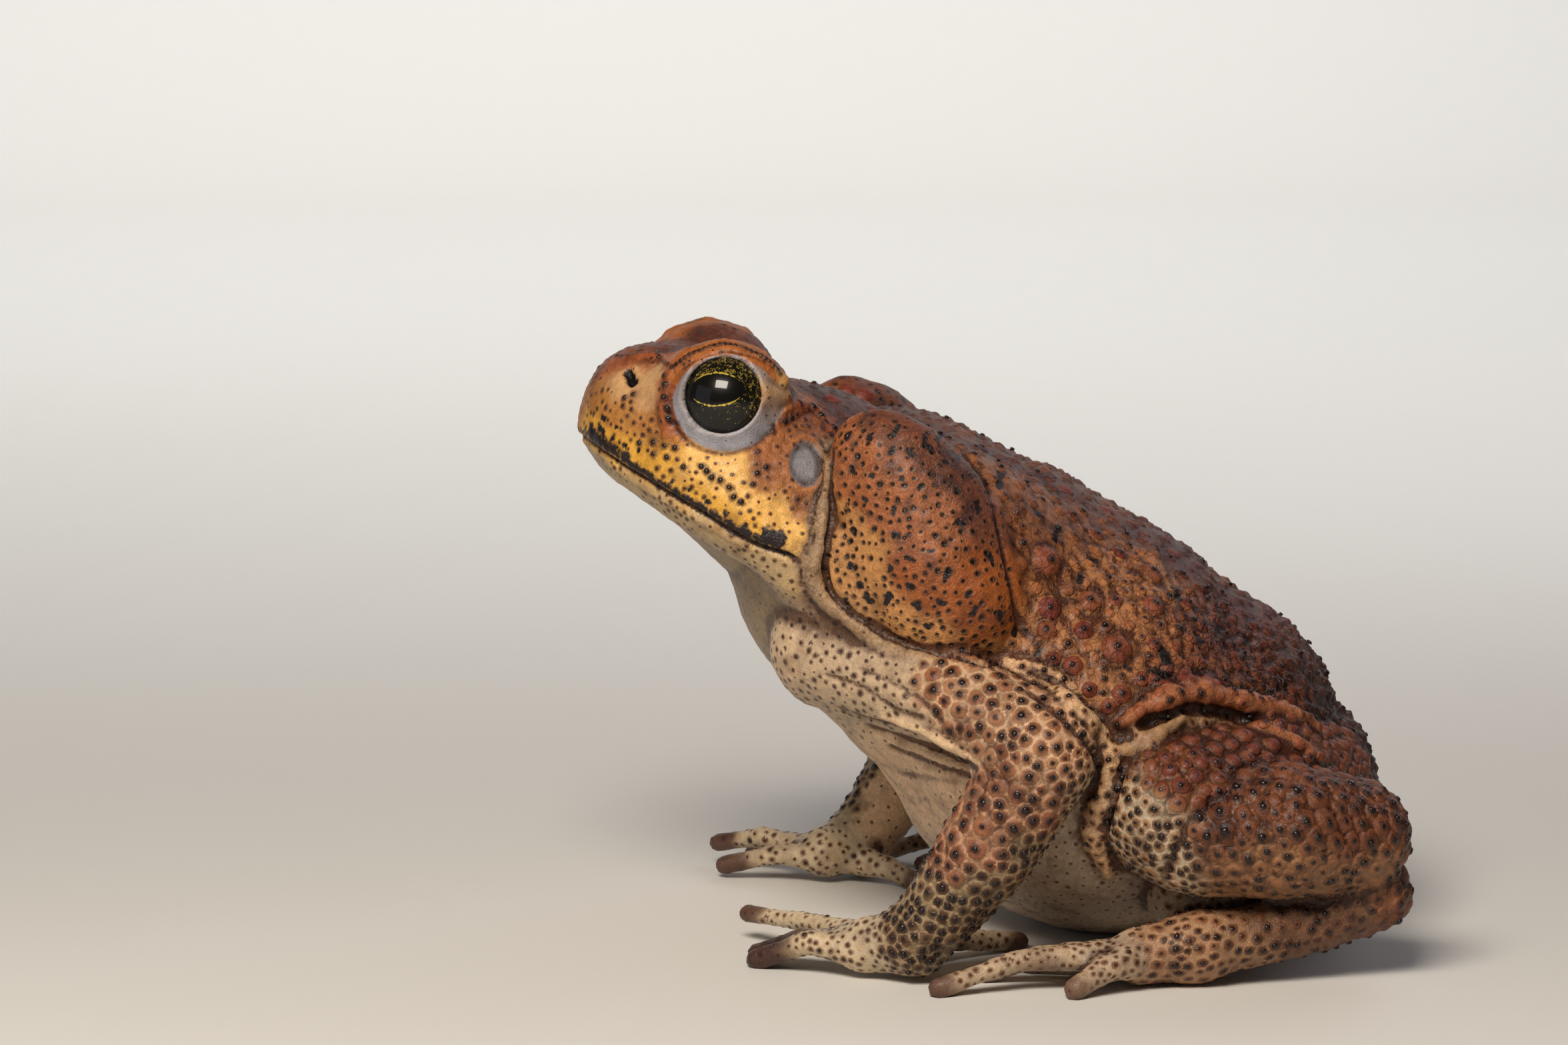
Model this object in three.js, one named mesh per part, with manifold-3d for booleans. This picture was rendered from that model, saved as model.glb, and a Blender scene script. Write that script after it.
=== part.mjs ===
// A cane toad sitting up on its hands, as a still, life-size model.
// Millimetres, +Z up. The toad faces -X and its left side is -Y. Forms are given with w, the distance from
// the middle plane, so one description serves both sides.
// The flesh is made of rounded forms that blend into each other: chains of balls and ellipsoids. A surface
// of few faces is cast onto each form, and manifold-3d parts it into pieces that meet face to face.
import * as THREE from "three";
import { mergeVertices } from "three/addons/utils/BufferGeometryUtils.js";
import Module from "manifold-3d";

const wasm = await Module();
wasm.setup();

// Driving dimensions
const EYE = { x: -45.9, w: 17, z: 88.6, radius: 7.2 }; // centre and radius of the eyeball
const GAZE = [-0.19, 0.955, 0.22]; // direction of the left eye in x, w and z
const JOINT_GAP = 0.35; // clear space between two pieces that meet
const MOUTH_GAP = 0.35; // height of the mouth slit
const FLOOR_Z = 0; // level of the flats under belly, hands and feet
const ROD_SUNK = 0.45; // share of its radius by which a crest or fold lies in the flesh
const WART_SEED = 20; // gives the same warts each time
const BACK_WARTS = { most: 34, radii: [1.7, 3.4], height: 0.5, faces: { round: 6, high: 3 } };
const HEAD_WARTS = { most: 8, radii: [0.9, 1.4], height: 0.6, faces: { round: 6, high: 3 } };
const LIMB_WARTS = { most: 5, radii: [1.3, 1.8], height: 0.6, faces: { round: 5, high: 3 } };
const DIGIT_FACES = { sides: 6, rings: 4, caps: 1 };
const ROD_FACES = { sides: 5, rings: 4, caps: 1 };
const ROOT_FACES = { sides: 9, rings: 2, caps: 2 };
const LIMB_FACES = { sides: 10, rings: 6, caps: 2 };
const BODY_FACES = { sides: 28, rings: 31, caps: 3 };

// Colours
const SKIN_HEAD = 0x8a5a30;
const SKIN_BACK = 0x6b3a22;
const SKIN_GLAND = 0x9a5a26;
const SKIN_LIMB = 0x8c6242;
const SKIN_PALE = 0xc2a77f;
const EYE_BLACK = 0x14110c;
const EARDRUM_GREY = 0x6d6a68;
const LID_PALE = 0xb9b39c;
const LID_BROWN = 0x7c4a28;

// Forms: each gives the distance from a point {x, w, z} to its surface, negative inside

// A chain of balls [x, w, z, radius], joined by cones. Widened, it spreads sideways from the middle plane.
function chain(balls, widen = 1) {
  const links = balls.slice(1).map((end, i) => ({ start: balls[i], end }));
  return (p) => {
    let nearest = Infinity;
    for (const { start, end } of links) {
      const ax = p.x - start[0];
      const aw = (p.w - start[1]) / widen;
      const az = p.z - start[2];
      const bx = end[0] - start[0];
      const bw = (end[1] - start[1]) / widen;
      const bz = end[2] - start[2];
      const along = (ax * bx + aw * bw + az * bz) / (bx * bx + bw * bw + bz * bz);
      const t = THREE.MathUtils.clamp(along, 0, 1);
      const away = Math.hypot(ax - t * bx, aw - t * bw, az - t * bz);
      nearest = Math.min(nearest, away - THREE.MathUtils.lerp(start[3], end[3], t));
    }
    return nearest;
  };
}

// An ellipsoid, pitched nose up and then turned so that its front end points inwards, both in degrees.
function ellipsoid([x, w, z], radii, pitch = 0, turn = 0) {
  const turned = new THREE.Matrix4().makeRotationZ(THREE.MathUtils.degToRad(turn));
  turned.multiply(new THREE.Matrix4().makeRotationY(THREE.MathUtils.degToRad(pitch)));
  const inverse = turned.transpose();
  const local = new THREE.Vector3();
  return (p) => {
    local.set(p.x - x, p.w - w, p.z - z).applyMatrix4(inverse);
    const size = Math.hypot(local.x / radii[0], local.y / radii[1], local.z / radii[2]);
    const slope = Math.hypot(local.x / radii[0] ** 2, local.y / radii[1] ** 2, local.z / radii[2] ** 2);
    return slope === 0 ? -Math.min(...radii) : (size * (size - 1)) / slope;
  };
}

// Joins forms with a fillet of about the given size.
function blend(size, ...forms) {
  return (p) =>
    forms.reduce((sum, form) => {
      const d = form(p);
      if (!Number.isFinite(sum)) return d;
      const near = Math.max(size - Math.abs(sum - d), 0) / size;
      return Math.min(sum, d) - (near * near * size) / 4;
    }, Infinity);
}

// Head and body
const NOSTRIL = { at: [-60.3, 7, 91.2], radius: 0.8 };
// Lids: the pale ring round the eye, and the brow as balls in the eye's own frame, front to back
const LID_RING = { radius: 7.1, thick: 1.45, flat: 0.8, out: 2.9 };
const BROW = [
  [-8.8, 0.8, 3.2, 1.1],
  [-6, 0.8, 5.8, 1.8],
  [0, 0.8, 7.1, 2.2],
  [5.8, 0.8, 5.6, 1.9],
  [9.4, 0.6, 1.6, 1.2],
];
const TRUNK_WIDEN = 1.22;
const trunkForm = blend(
  7,
  chain(
    [
      [-30.5, 0, 70.5, 17.2],
      [-18.5, 0, 59.8, 25],
      [-3.4, 0, 49.2, 28],
      [10.5, 0, 37.8, 31],
      [28.5, 0, 29.6, 26.6],
      [43.5, 0, 21.8, 18],
      [51, 0, 15.5, 9.5],
    ],
    TRUNK_WIDEN,
  ),
  ellipsoid([15.5, 0, 21.8], [29, 34, 22.3], 8),
  ellipsoid([13, 24, 33], [27, 17, 23], 20),
  ellipsoid([-14, 19, 61], [19, 14, 19], 45),
);

const skullForm = blend(
  6,
  ellipsoid([-43.5, 0, 79], [22.5, 21.4, 12.6], 20),
  ellipsoid([-55.5, 0, 85.3], [11, 13, 9.6], 14),
  ellipsoid([-38.5, 15, 73], [14.5, 9.6, 9.2], 25),
  ellipsoid([-45.6, 14.2, 89.2], [10, 8.2, 8.2], 8),
  chain([
    [-63.8, 0, 82, 2.6],
    [-61.4, 8.6, 80.4, 2.7],
    [-55, 16.4, 76.8, 2.8],
    [-46.4, 21.4, 71.8, 3],
    [-37, 24.2, 67, 3],
  ]),
);

const jawForm = blend(
  5,
  chain([
    [-62.2, 0, 77.6, 2.4],
    [-59.8, 8.4, 76.4, 2.5],
    [-53, 16, 72.4, 2.6],
    [-44.6, 20.8, 67.2, 2.8],
    [-36, 23.2, 62.2, 3.2],
  ]),
  ellipsoid([-45, 0, 70.4], [18.5, 20.4, 7.6], 34),
);

const bodyForm = blend(6, trunkForm, blend(3, skullForm, jawForm));
const BODY_AXIS = [
  [-55, 0, 80.5],
  [-44, 0, 76.5],
  [-31, 0, 68.5],
  [-18, 0, 58],
  [-4, 0, 47],
  [12, 0, 36],
  [30, 0, 28],
  [47, 0, 18.5],
];
const NECK = { at: [-31.5, 72], lean: 17 }; // the neck joint in x and z, and its lean back in degrees
const MOUTH_LINE = [
  [-76, 84.8],
  [-66.1, 79.7],
  [-57.2, 74.7],
  [-47.1, 69.1],
  [-35.5, 63.3],
  [-20, 57],
];

// Glands behind the eyes
const parotoidForm = blend(
  5,
  ellipsoid([-16.3, 26.4, 69.4], [20, 8.6, 12], 56, 16),
  ellipsoid([-13.6, 30.4, 59.4], [13.4, 8, 10.4], 38, 12),
);
const PAROTOID_AXIS = [
  [-25, 24, 80],
  [-18, 26.5, 70],
  [-9.5, 31, 57.5],
];

// Limbs, each as balls from its root to its end
const UPPER_ARM = [
  [-29, 17, 49, 10],
  [-11, 36.5, 43.2, 7.4],
  [0, 43.5, 37.2, 7.8],
];
const FOREARM = [
  [0.6, 44, 35.4, 7.7],
  [-7.5, 43.5, 21.8, 7.2],
  [-15, 41, 11, 5.9],
  [-18.5, 39.5, 7.2, 5.2],
];
const THIGH = [
  [45, 12, 24, 13],
  [35, 29.5, 27.4, 12.8],
  [22.2, 40, 26.4, 11.6],
];
const SHANK = [
  [25, 43, 23.4, 9.6],
  [38, 46, 24, 10.2],
  [48.8, 44, 22.6, 8.8],
];
const TARSUS = [
  [53, 43, 13.2, 5.3],
  [44, 43.5, 9.2, 4.7],
  [33, 44.5, 7.2, 4.7],
  [24, 45.5, 5.8, 4.9],
];

// Digits, each as knuckle, middle joint and tip
const PALM = [
  [-18.5, 39.4, 6.2, 5],
  [-25.2, 35.4, 5, 4.3],
];
const FINGERS_LEFT = [
  [[-20, 31, 4, 2.6], [-11, 25, 3.2, 1.9], [0.5, 19, 1.2, 1.6]],
  [[-26.5, 30.5, 5.4, 2.5], [-34, 19, 5.2, 1.5], [-41.9, 9, 4.4, 1.4]],
  [[-28.5, 33.5, 5, 2.4], [-35, 28.4, 4.4, 1.8], [-41.5, 23.5, 1.2, 1.6]],
  [[-27, 36.5, 4, 2.6], [-34.5, 33, 5, 1.9], [-42, 28, 1.2, 1.7]],
];
const FINGERS_RIGHT = [
  [[-19, 33.5, 3.6, 2.6], [-15, 30.5, 3, 2], [-11, 27, 1.3, 1.7]],
  [[-25.5, 33.5, 4.2, 2.5], [-33.5, 35, 4.8, 1.7], [-42, 39, 2.2, 1.6]],
  [[-27.5, 37, 4.8, 2.4], [-35, 42.5, 6.2, 1.7], [-42.4, 49, 4, 1.5]],
  [[-25.5, 40, 4.2, 2.5], [-31, 46.5, 4.4, 1.8], [-36, 53, 1.4, 1.6]],
];
const SOLE = [
  [25, 45.2, 6, 5],
  [15.5, 46, 4.8, 4.4],
];
const TOES = [
  [[15, 41, 4, 2.4], [10.5, 36.5, 3.6, 1.7], [7, 33, 1.2, 1.5]],
  [[12, 42.5, 4.2, 2.4], [5.5, 38.5, 3.8, 1.7], [0, 35.5, 1.2, 1.5]],
  [[9.5, 44.5, 4.6, 2.4], [0.5, 42.5, 4.2, 1.7], [-8, 41, 1.2, 1.5]],
  [[8.5, 46.8, 5, 2.4], [-3.8, 47.8, 4.8, 1.6], [-16, 50, 1.2, 1.6]],
  [[13, 49.4, 4.6, 2.7], [9.4, 51, 4, 2.1], [4.6, 53, 1.3, 1.8]],
];
const WEB = [
  [17, 42],
  [10.8, 37.4],
  [9.6, 39.6],
  [6, 39.4],
  [6.2, 42],
  [1, 43],
  [3.2, 45.4],
  [-1.5, 47.4],
  [7.4, 48.6],
  [9.6, 50.4],
  [15, 48],
];
const WEB_Z = [2.2, 3.6];

// Raised lines over the skin, each as a radius and points that are set onto the surface
const CRESTS = [
  { name: "canthal", radius: 2, points: [[-60.5, 7.4, 93.6], [-57.5, 9.4, 94.4], [-54, 11.4, 94]] },
  { name: "preorbital", radius: 1.7, points: [[-55.4, 12.6, 93], [-56.4, 15.4, 88], [-56, 18, 83]] },
  { name: "supraorbital", radius: 2, points: [[-53.5, 10, 95.5], [-46, 9.6, 97.6], [-38, 11.5, 94.5]] },
  { name: "supratympanic", radius: 1.9, points: [[-35, 19, 89.6], [-32.6, 21.5, 87.4], [-30.6, 23, 85]] },
];
const FOLDS = [
  { name: "armpit", radius: 2.1, points: [[-2, 40, 50], [5, 42.5, 42.5], [8.4, 43, 31], [10.5, 41, 20]] },
  { name: "groin", radius: 2, points: [[9, 42.5, 38.5], [16, 42, 41], [22.5, 40, 44.5]] },
  { name: "flank", radius: 2.2, points: [[13, 42, 43], [20, 40.5, 47], [29, 37, 46], [40, 30, 43]] },
];

// Casting: a point slides outwards from inside a form until it lies on the surface
const CAST_STEP = 1.5;
const CAST_REACH = 120;
const CAST_HALVINGS = 14;

function depthAt(form, v) {
  return form({ x: v.x, w: Math.abs(v.y), z: v.z });
}

function castPoint(form, origin, direction, swell = 0) {
  const probe = new THREE.Vector3();
  const at = (t) => depthAt(form, probe.copy(origin).addScaledVector(direction, t)) - swell;
  let outside = CAST_STEP;
  while (at(outside) < 0 && outside < CAST_REACH) outside += CAST_STEP;
  let inside = outside - CAST_STEP;
  for (let i = 0; i < CAST_HALVINGS; i += 1) {
    const middle = (inside + outside) / 2;
    if (at(middle) < 0) inside = middle;
    else outside = middle;
  }
  return origin.clone().addScaledVector(direction, outside);
}

function normalAt(form, v) {
  const step = 0.05;
  const slope = (axis) => {
    const offset = new THREE.Vector3().setComponent(axis, step);
    return depthAt(form, v.clone().add(offset)) - depthAt(form, v.clone().sub(offset));
  };
  return new THREE.Vector3(slope(0), slope(1), slope(2)).normalize();
}

// Moves a nearby point [x, w, z] of one side (-1 left, 1 right) onto the surface.
function setOnto(form, [x, w, z], side) {
  const v = new THREE.Vector3(x, side * w, z);
  for (let i = 0; i < 8; i += 1) v.addScaledVector(normalAt(form, v), -depthAt(form, v));
  return v;
}

// Casts rings of faces round an axis, closed by a rounded cap at each end.
function castAlong(form, axis, { sides, rings, caps }, swell = 0) {
  const curve = new THREE.CatmullRomCurve3(axis, false, "chordal");
  const run = axis[axis.length - 1].clone().sub(axis[0]);
  const spans = run.toArray().map(Math.abs);
  const reference = new THREE.Vector3().setComponent(spans.indexOf(Math.min(...spans)), 1);
  const places = [];
  const total = rings + 2 * caps;
  for (let ring = 0; ring <= total; ring += 1) {
    const share = THREE.MathUtils.clamp((ring - caps) / rings, 0, 1);
    const origin = curve.getPointAt(share);
    const tangent = curve.getTangentAt(share);
    const first = new THREE.Vector3().crossVectors(reference, tangent).normalize();
    const second = new THREE.Vector3().crossVectors(tangent, first);
    const beyond = Math.min(ring - caps, 0) + Math.max(ring - caps - rings, 0);
    const tilt = (beyond / caps) * (Math.PI / 2);
    const count = Math.abs(beyond) === caps ? 1 : sides;
    for (let i = 0; i < count; i += 1) {
      const angle = (i / sides) * 2 * Math.PI;
      const direction = first.clone().multiplyScalar(Math.cos(angle));
      direction.addScaledVector(second, Math.sin(angle));
      direction.multiplyScalar(Math.cos(tilt)).addScaledVector(tangent, Math.sin(tilt));
      places.push(castPoint(form, origin, direction, swell));
    }
  }
  const faces = [];
  const last = places.length - 1;
  const row = (ring) => 1 + (ring - 1) * sides;
  for (let i = 0; i < sides; i += 1) {
    const next = (i + 1) % sides;
    faces.push(0, row(1) + next, row(1) + i);
    faces.push(last, row(total - 1) + i, row(total - 1) + next);
    for (let ring = 1; ring < total - 1; ring += 1) {
      const [a, b] = [row(ring) + i, row(ring) + next];
      const [c, d] = [row(ring + 1) + i, row(ring + 1) + next];
      if (i < sides / 2) faces.push(a, b, d, a, d, c);
      else faces.push(a, b, c, b, d, c);
    }
  }
  return new THREE.BufferGeometry().setFromPoints(places).setIndex(faces);
}

// Solids
function solid(geometry) {
  geometry.deleteAttribute("normal");
  geometry.deleteAttribute("uv");
  const merged = mergeVertices(geometry, 1e-4);
  return new wasm.Manifold(
    new wasm.Mesh({
      numProp: 3,
      vertProperties: new Float32Array(merged.getAttribute("position").array),
      triVerts: new Uint32Array(merged.index.array),
    }),
  );
}

function bySize(made) {
  return made.decompose().sort((a, b) => b.volume() - a.volume());
}

function joined(solids) {
  return wasm.Manifold.union(solids);
}

function less(made, ...cutters) {
  return bySize(cutters.reduce((rest, cutter) => rest.subtract(cutter), made))[0];
}

function axisOf(balls, side) {
  return balls.map(([x, w, z]) => new THREE.Vector3(x, side * w, z));
}

// A piece of flesh together with its shape swollen by the joint gap, which trims what it meets.
function limb(balls, side, faces = LIMB_FACES) {
  const form = chain(balls);
  const axis = axisOf(balls, side);
  return {
    form,
    axis,
    side,
    flesh: solid(castAlong(form, axis, faces)),
    swollen: solid(castAlong(form, axis, faces, JOINT_GAP)),
  };
}

// A rod of the given radius that follows points on the surface.
function rodOn(form, points, radius, side, faces = ROD_FACES) {
  const spots = points.map((point) => {
    const spot = setOnto(form, point, side);
    return spot.addScaledVector(normalAt(form, spot), -ROD_SUNK * radius);
  });
  const balls = spots.map((v, i) => {
    const atEnd = i === 0 || i === spots.length - 1;
    return [v.x, Math.abs(v.y), v.z, atEnd ? radius * 0.8 : radius];
  });
  return solid(castAlong(chain(balls), spots, faces));
}

// A low dome over a spot on the surface, its root sunk in.
function dome(spot, normal, radius, height, { round, high }) {
  const geometry = new THREE.SphereGeometry(1, round, high);
  geometry.scale(radius, height, radius);
  const stand = new THREE.Quaternion().setFromUnitVectors(new THREE.Vector3(0, 1, 0), normal);
  geometry.applyQuaternion(stand);
  geometry.translate(spot.x, spot.y, spot.z);
  return solid(geometry);
}

const floorBlock = solid(new THREE.BoxGeometry(400, 400, 100).translate(0, 0, FLOOR_Z - 50));

// Head and body: one surface, parted at the neck and the mouth
const bodyAxis = axisOf(BODY_AXIS, 1);
const bodyWhole = solid(castAlong(bodyForm, bodyAxis, BODY_FACES));
const bodySwollen = solid(castAlong(bodyForm, bodyAxis, BODY_FACES, JOINT_GAP));

const neckSlab = solid(
  new THREE.BoxGeometry(JOINT_GAP, 160, 160)
    .rotateY(THREE.MathUtils.degToRad(NECK.lean))
    .translate(NECK.at[0], 0, NECK.at[1]),
);

function mouthSlab() {
  const line = new THREE.SplineCurve(MOUTH_LINE.map(([x, z]) => new THREE.Vector2(x, z))).getPoints(24);
  const lower = line.map((v) => new THREE.Vector2(v.x, v.y - MOUTH_GAP / 2));
  const upper = line.map((v) => new THREE.Vector2(v.x, v.y + MOUTH_GAP / 2)).reverse();
  const geometry = new THREE.ExtrudeGeometry(new THREE.Shape([...lower, ...upper]), {
    depth: 90,
    bevelEnabled: false,
  });
  return solid(geometry.rotateX(Math.PI / 2).translate(0, 45, 0));
}

const [trunkPart, headPart] = bySize(bodyWhole.subtract(neckSlab));
const headParts = bySize(headPart.subtract(mouthSlab())).slice(0, 2);
headParts.sort((a, b) => b.boundingBox().max[2] - a.boundingBox().max[2]);

// Warts of the back, scattered at random but never too close to each other
function seeded(seed) {
  let state = seed;
  return () => {
    state = (state * 16807) % 2147483647;
    return state / 2147483647;
  };
}

function scatter({ form, axis, seed, tries, most, spacing, radii, height, keep, faces }) {
  const random = seeded(seed);
  const curve = new THREE.CatmullRomCurve3(axis, false, "chordal");
  const spots = [];
  for (let i = 0; i < tries && spots.length < most; i += 1) {
    const origin = curve.getPointAt(random());
    const turn = random() * 2 * Math.PI;
    const rise = random() * 2 - 1;
    const flat = Math.sqrt(1 - rise * rise);
    const direction = new THREE.Vector3(flat * Math.cos(turn), flat * Math.sin(turn), rise);
    const radius = THREE.MathUtils.lerp(radii[0], radii[1], random() ** 2);
    const spot = castPoint(form, origin, direction);
    const normal = normalAt(form, spot);
    const clear = spots.every((other) => other.spot.distanceTo(spot) > (other.radius + radius) * spacing);
    if (clear && keep(spot, normal, radius)) spots.push({ spot, normal, radius });
  }
  return spots.map(({ spot, normal, radius }) => dome(spot, normal, radius, radius * height, faces));
}

// Warts over a limb, on the side that faces away from the body.
function limbWarts(part, seed, clearOf) {
  return scatter({
    form: part.form,
    axis: part.axis,
    seed,
    tries: 120,
    spacing: 1.35,
    ...LIMB_WARTS,
    keep: (spot, normal, radius) =>
      normal.y * part.side > 0.25 && spot.z > 15 && clearOf.every((form) => depthAt(form, spot) > radius + 1),
  });
}

// The pieces of one side
function sidePieces(side) {
  const suffix = side < 0 ? "left" : "right";
  const eyeAt = new THREE.Vector3(EYE.x, side * EYE.w, EYE.z);
  const gaze = new THREE.Vector3(GAZE[0], side * GAZE[1], GAZE[2]).normalize();
  const facing = new THREE.Quaternion().setFromUnitVectors(new THREE.Vector3(0, side, 0), gaze);
  const eye = solid(new THREE.IcosahedronGeometry(EYE.radius, 3).translate(...eyeAt.toArray()));
  const socket = solid(
    new THREE.IcosahedronGeometry(EYE.radius + 0.55, 2).translate(...eyeAt.toArray()),
  );

  // The pale lower lid rings the whole eye, and the upper lid is a brow over it.
  const lidRing = (grow) =>
    solid(
      new THREE.TorusGeometry(LID_RING.radius, LID_RING.thick + grow, 4, 16)
        .rotateX(Math.PI / 2)
        .scale(1, LID_RING.flat, 1)
        .translate(0, side * LID_RING.out, 0)
        .applyQuaternion(facing)
        .translate(...eyeAt.toArray()),
    );
  const browSpots = BROW.map(([x, w, z]) =>
    new THREE.Vector3(x, side * w, z).applyQuaternion(facing).add(eyeAt),
  );
  const browBalls = (grow) => browSpots.map((v, i) => [v.x, Math.abs(v.y), v.z, BROW[i][3] + grow]);
  const browFaces = { sides: 6, rings: 7, caps: 1 };
  const brow = (grow) => solid(castAlong(chain(browBalls(grow)), browSpots, browFaces));
  const lidUpper = less(brow(0), socket);
  const lidLower = less(lidRing(0), socket, brow(JOINT_GAP));
  const lidSpace = joined([lidRing(JOINT_GAP), brow(JOINT_GAP)]);

  const nostrilAt = setOnto(bodyForm, NOSTRIL.at, side);
  const nostril = solid(
    new THREE.IcosahedronGeometry(1, 0)
      .scale(NOSTRIL.radius * 1.3, NOSTRIL.radius, NOSTRIL.radius)
      .translate(...nostrilAt.toArray()),
  );
  const eardrumAt = setOnto(bodyForm, [-34.1, 24, 78.9], side);
  const eardrumOut = normalAt(bodyForm, eardrumAt);
  const eardrumShape = (grow) => {
    const geometry = new THREE.SphereGeometry(1, 12, 4).scale(2.6 + grow, 0.9 + grow, 3.2 + grow);
    const turn = new THREE.Quaternion().setFromUnitVectors(new THREE.Vector3(0, side, 0), eardrumOut);
    return solid(geometry.applyQuaternion(turn).translate(...eardrumAt.toArray()));
  };

  const parotoidAxis = axisOf(PAROTOID_AXIS, side);
  const parotoidFaces = { sides: 13, rings: 5, caps: 3 };
  const parotoid = solid(castAlong(parotoidForm, parotoidAxis, parotoidFaces));
  const parotoidSwollen = solid(castAlong(parotoidForm, parotoidAxis, parotoidFaces, JOINT_GAP));

  const upperArm = limb(UPPER_ARM, side);
  const forearm = limb(FOREARM, side);
  const thigh = limb(THIGH, side);
  const shank = limb(SHANK, side);
  const tarsus = limb(TARSUS, side);

  const digit = (root, balls) => {
    const whole = [[root[0], root[1], root[2], balls[0][3]], ...balls];
    return solid(castAlong(chain(whole), axisOf(whole, side), DIGIT_FACES));
  };
  const fingers = side < 0 ? FINGERS_LEFT : FINGERS_RIGHT;
  const handWhole = joined([
    limb(PALM, side, ROOT_FACES).flesh,
    ...fingers.map((balls) => digit(PALM[1], balls)),
  ]);
  const web = new THREE.ExtrudeGeometry(
    new THREE.Shape(WEB.map(([x, w]) => new THREE.Vector2(x, side * w))),
    { depth: WEB_Z[1] - WEB_Z[0], bevelEnabled: false },
  ).translate(0, 0, WEB_Z[0]);
  const footWhole = joined([
    limb(SOLE, side, ROOT_FACES).flesh,
    solid(web),
    ...TOES.map((balls) => digit(SOLE[1], balls)),
  ]);

  const crests = CRESTS.map(({ radius, points }) => rodOn(bodyForm, points, radius, side));
  const near = [upperArm.swollen, forearm.swollen, thigh.swollen, shank.swollen, parotoidSwollen];
  const folds = FOLDS.map(({ radius, points }) => less(rodOn(bodyForm, points, radius, side), ...near));
  const warty = (part, seed) => {
    const others = limbForms.filter((form) => form !== part.form);
    return joined([part.flesh, ...limbWarts(part, WART_SEED + seed, [bodyForm, ...others])]);
  };
  const limbForms = [upperArm.form, forearm.form, thigh.form, shank.form, parotoidForm];
  return {
    crests,
    folds,
    limbForms,
    headCutters: [socket, nostril, lidSpace, eardrumShape(0.3), parotoidSwollen],
    trunkCutters: [parotoidSwollen],
    nodes: [
      [`eye_${suffix}`, eye, EYE_BLACK, 0.08],
      [`eyelid_upper_${suffix}`, lidUpper, LID_BROWN, 0.5],
      [`eyelid_lower_${suffix}`, lidLower, LID_PALE, 0.45],
      [`tympanum_${suffix}`, eardrumShape(0), EARDRUM_GREY, 0.4],
      [`parotoid_${suffix}`, parotoid, SKIN_GLAND, 0.5],
      [
        `upper_arm_${suffix}`,
        less(warty(upperArm, 31), bodySwollen, parotoidSwollen, forearm.swollen),
        SKIN_LIMB,
        0.6,
      ],
      [`forearm_${suffix}`, less(warty(forearm, 47), bodySwollen, floorBlock), SKIN_LIMB, 0.6],
      [`hand_${suffix}`, less(handWhole, forearm.swollen, floorBlock), SKIN_PALE, 0.6],
      [`thigh_${suffix}`, less(warty(thigh, 5), bodySwollen, shank.swollen), SKIN_LIMB, 0.6],
      [`shank_${suffix}`, less(warty(shank, 83), bodySwollen, tarsus.swollen), SKIN_LIMB, 0.6],
      [`tarsus_${suffix}`, less(tarsus.flesh, floorBlock), SKIN_LIMB, 0.6],
      [`foot_${suffix}`, less(footWhole, tarsus.swollen, floorBlock), SKIN_PALE, 0.6],
    ],
  };
}

const sides = [sidePieces(-1), sidePieces(1)];
const [skull, jaw] = headParts;
const { limbForms } = sides[0];
const backWarts = scatter({
  form: bodyForm,
  axis: bodyAxis,
  seed: WART_SEED,
  tries: 1500,
  spacing: 1.25,
  ...BACK_WARTS,
  keep: (spot, normal, radius) =>
    spot.x > NECK.at[0] + 8 &&
    normal.z > -0.2 &&
    spot.z > 30 &&
    limbForms.every((form) => depthAt(form, spot) > radius * 0.9 + 0.7),
});
const headWarts = scatter({
  form: bodyForm,
  axis: bodyAxis.slice(0, 3),
  seed: WART_SEED + 3,
  tries: 600,
  spacing: 1.6,
  ...HEAD_WARTS,
  keep: (spot) => spot.x < NECK.at[0] - 3 && spot.x > -57 && spot.z > 76 + Math.abs(spot.y) * 0.25,
});
const head = less(
  joined([skull, ...headWarts, ...sides.flatMap(({ crests }) => crests)]),
  neckSlab,
  mouthSlab(),
  ...sides.flatMap(({ headCutters }) => headCutters),
);
const lowerJaw = less(jaw, ...sides.flatMap(({ trunkCutters }) => trunkCutters));
const torso = less(
  joined([trunkPart, ...backWarts, ...sides.flatMap(({ folds }) => folds)]),
  neckSlab,
  floorBlock,
  ...sides.flatMap(({ trunkCutters }) => trunkCutters),
);

const nodes = [
  ["head", head, SKIN_HEAD, 0.55],
  ["lower_jaw", lowerJaw, SKIN_PALE, 0.6],
  ["torso", torso, SKIN_BACK, 0.6],
  ...sides.flatMap((one) => one.nodes),
];

const toad = new THREE.Group();
for (const [name, made, color, roughness] of nodes) {
  const mesh = made.getMesh();
  const geometry = new THREE.BufferGeometry();
  geometry.setAttribute("position", new THREE.BufferAttribute(mesh.vertProperties, 3));
  geometry.setIndex(new THREE.BufferAttribute(mesh.triVerts, 1));
  const piece = new THREE.Mesh(geometry, new THREE.MeshStandardMaterial({ color, roughness, metalness: 0 }));
  piece.name = name;
  toad.add(piece);
}

const bounds = new THREE.Box3().setFromObject(toad);
toad.position.set(-(bounds.min.x + bounds.max.x) / 2, -(bounds.min.y + bounds.max.y) / 2, -bounds.min.z);

export default toad;
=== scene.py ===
"""A cane toad sitting up on its hands, still and life size.

One warty skin covers head, body and limbs without a seam, glassy eyes lie in its lids, and horny tips stand
on its warts. Sizes are in millimetres in the toad's own frame: it faces -X, its left side is -Y, +Z is up and
the floor is at 0. w is the distance from the middle plane, so one description serves both sides.
"""

import logging
import math
from collections.abc import Callable, Iterable, Sequence
from dataclasses import dataclass, field
from enum import Enum
from functools import lru_cache
from typing import Any, Protocol

import bpy
import numpy as np
from mathutils import Matrix, Vector, bvhtree, kdtree, noise

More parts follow.
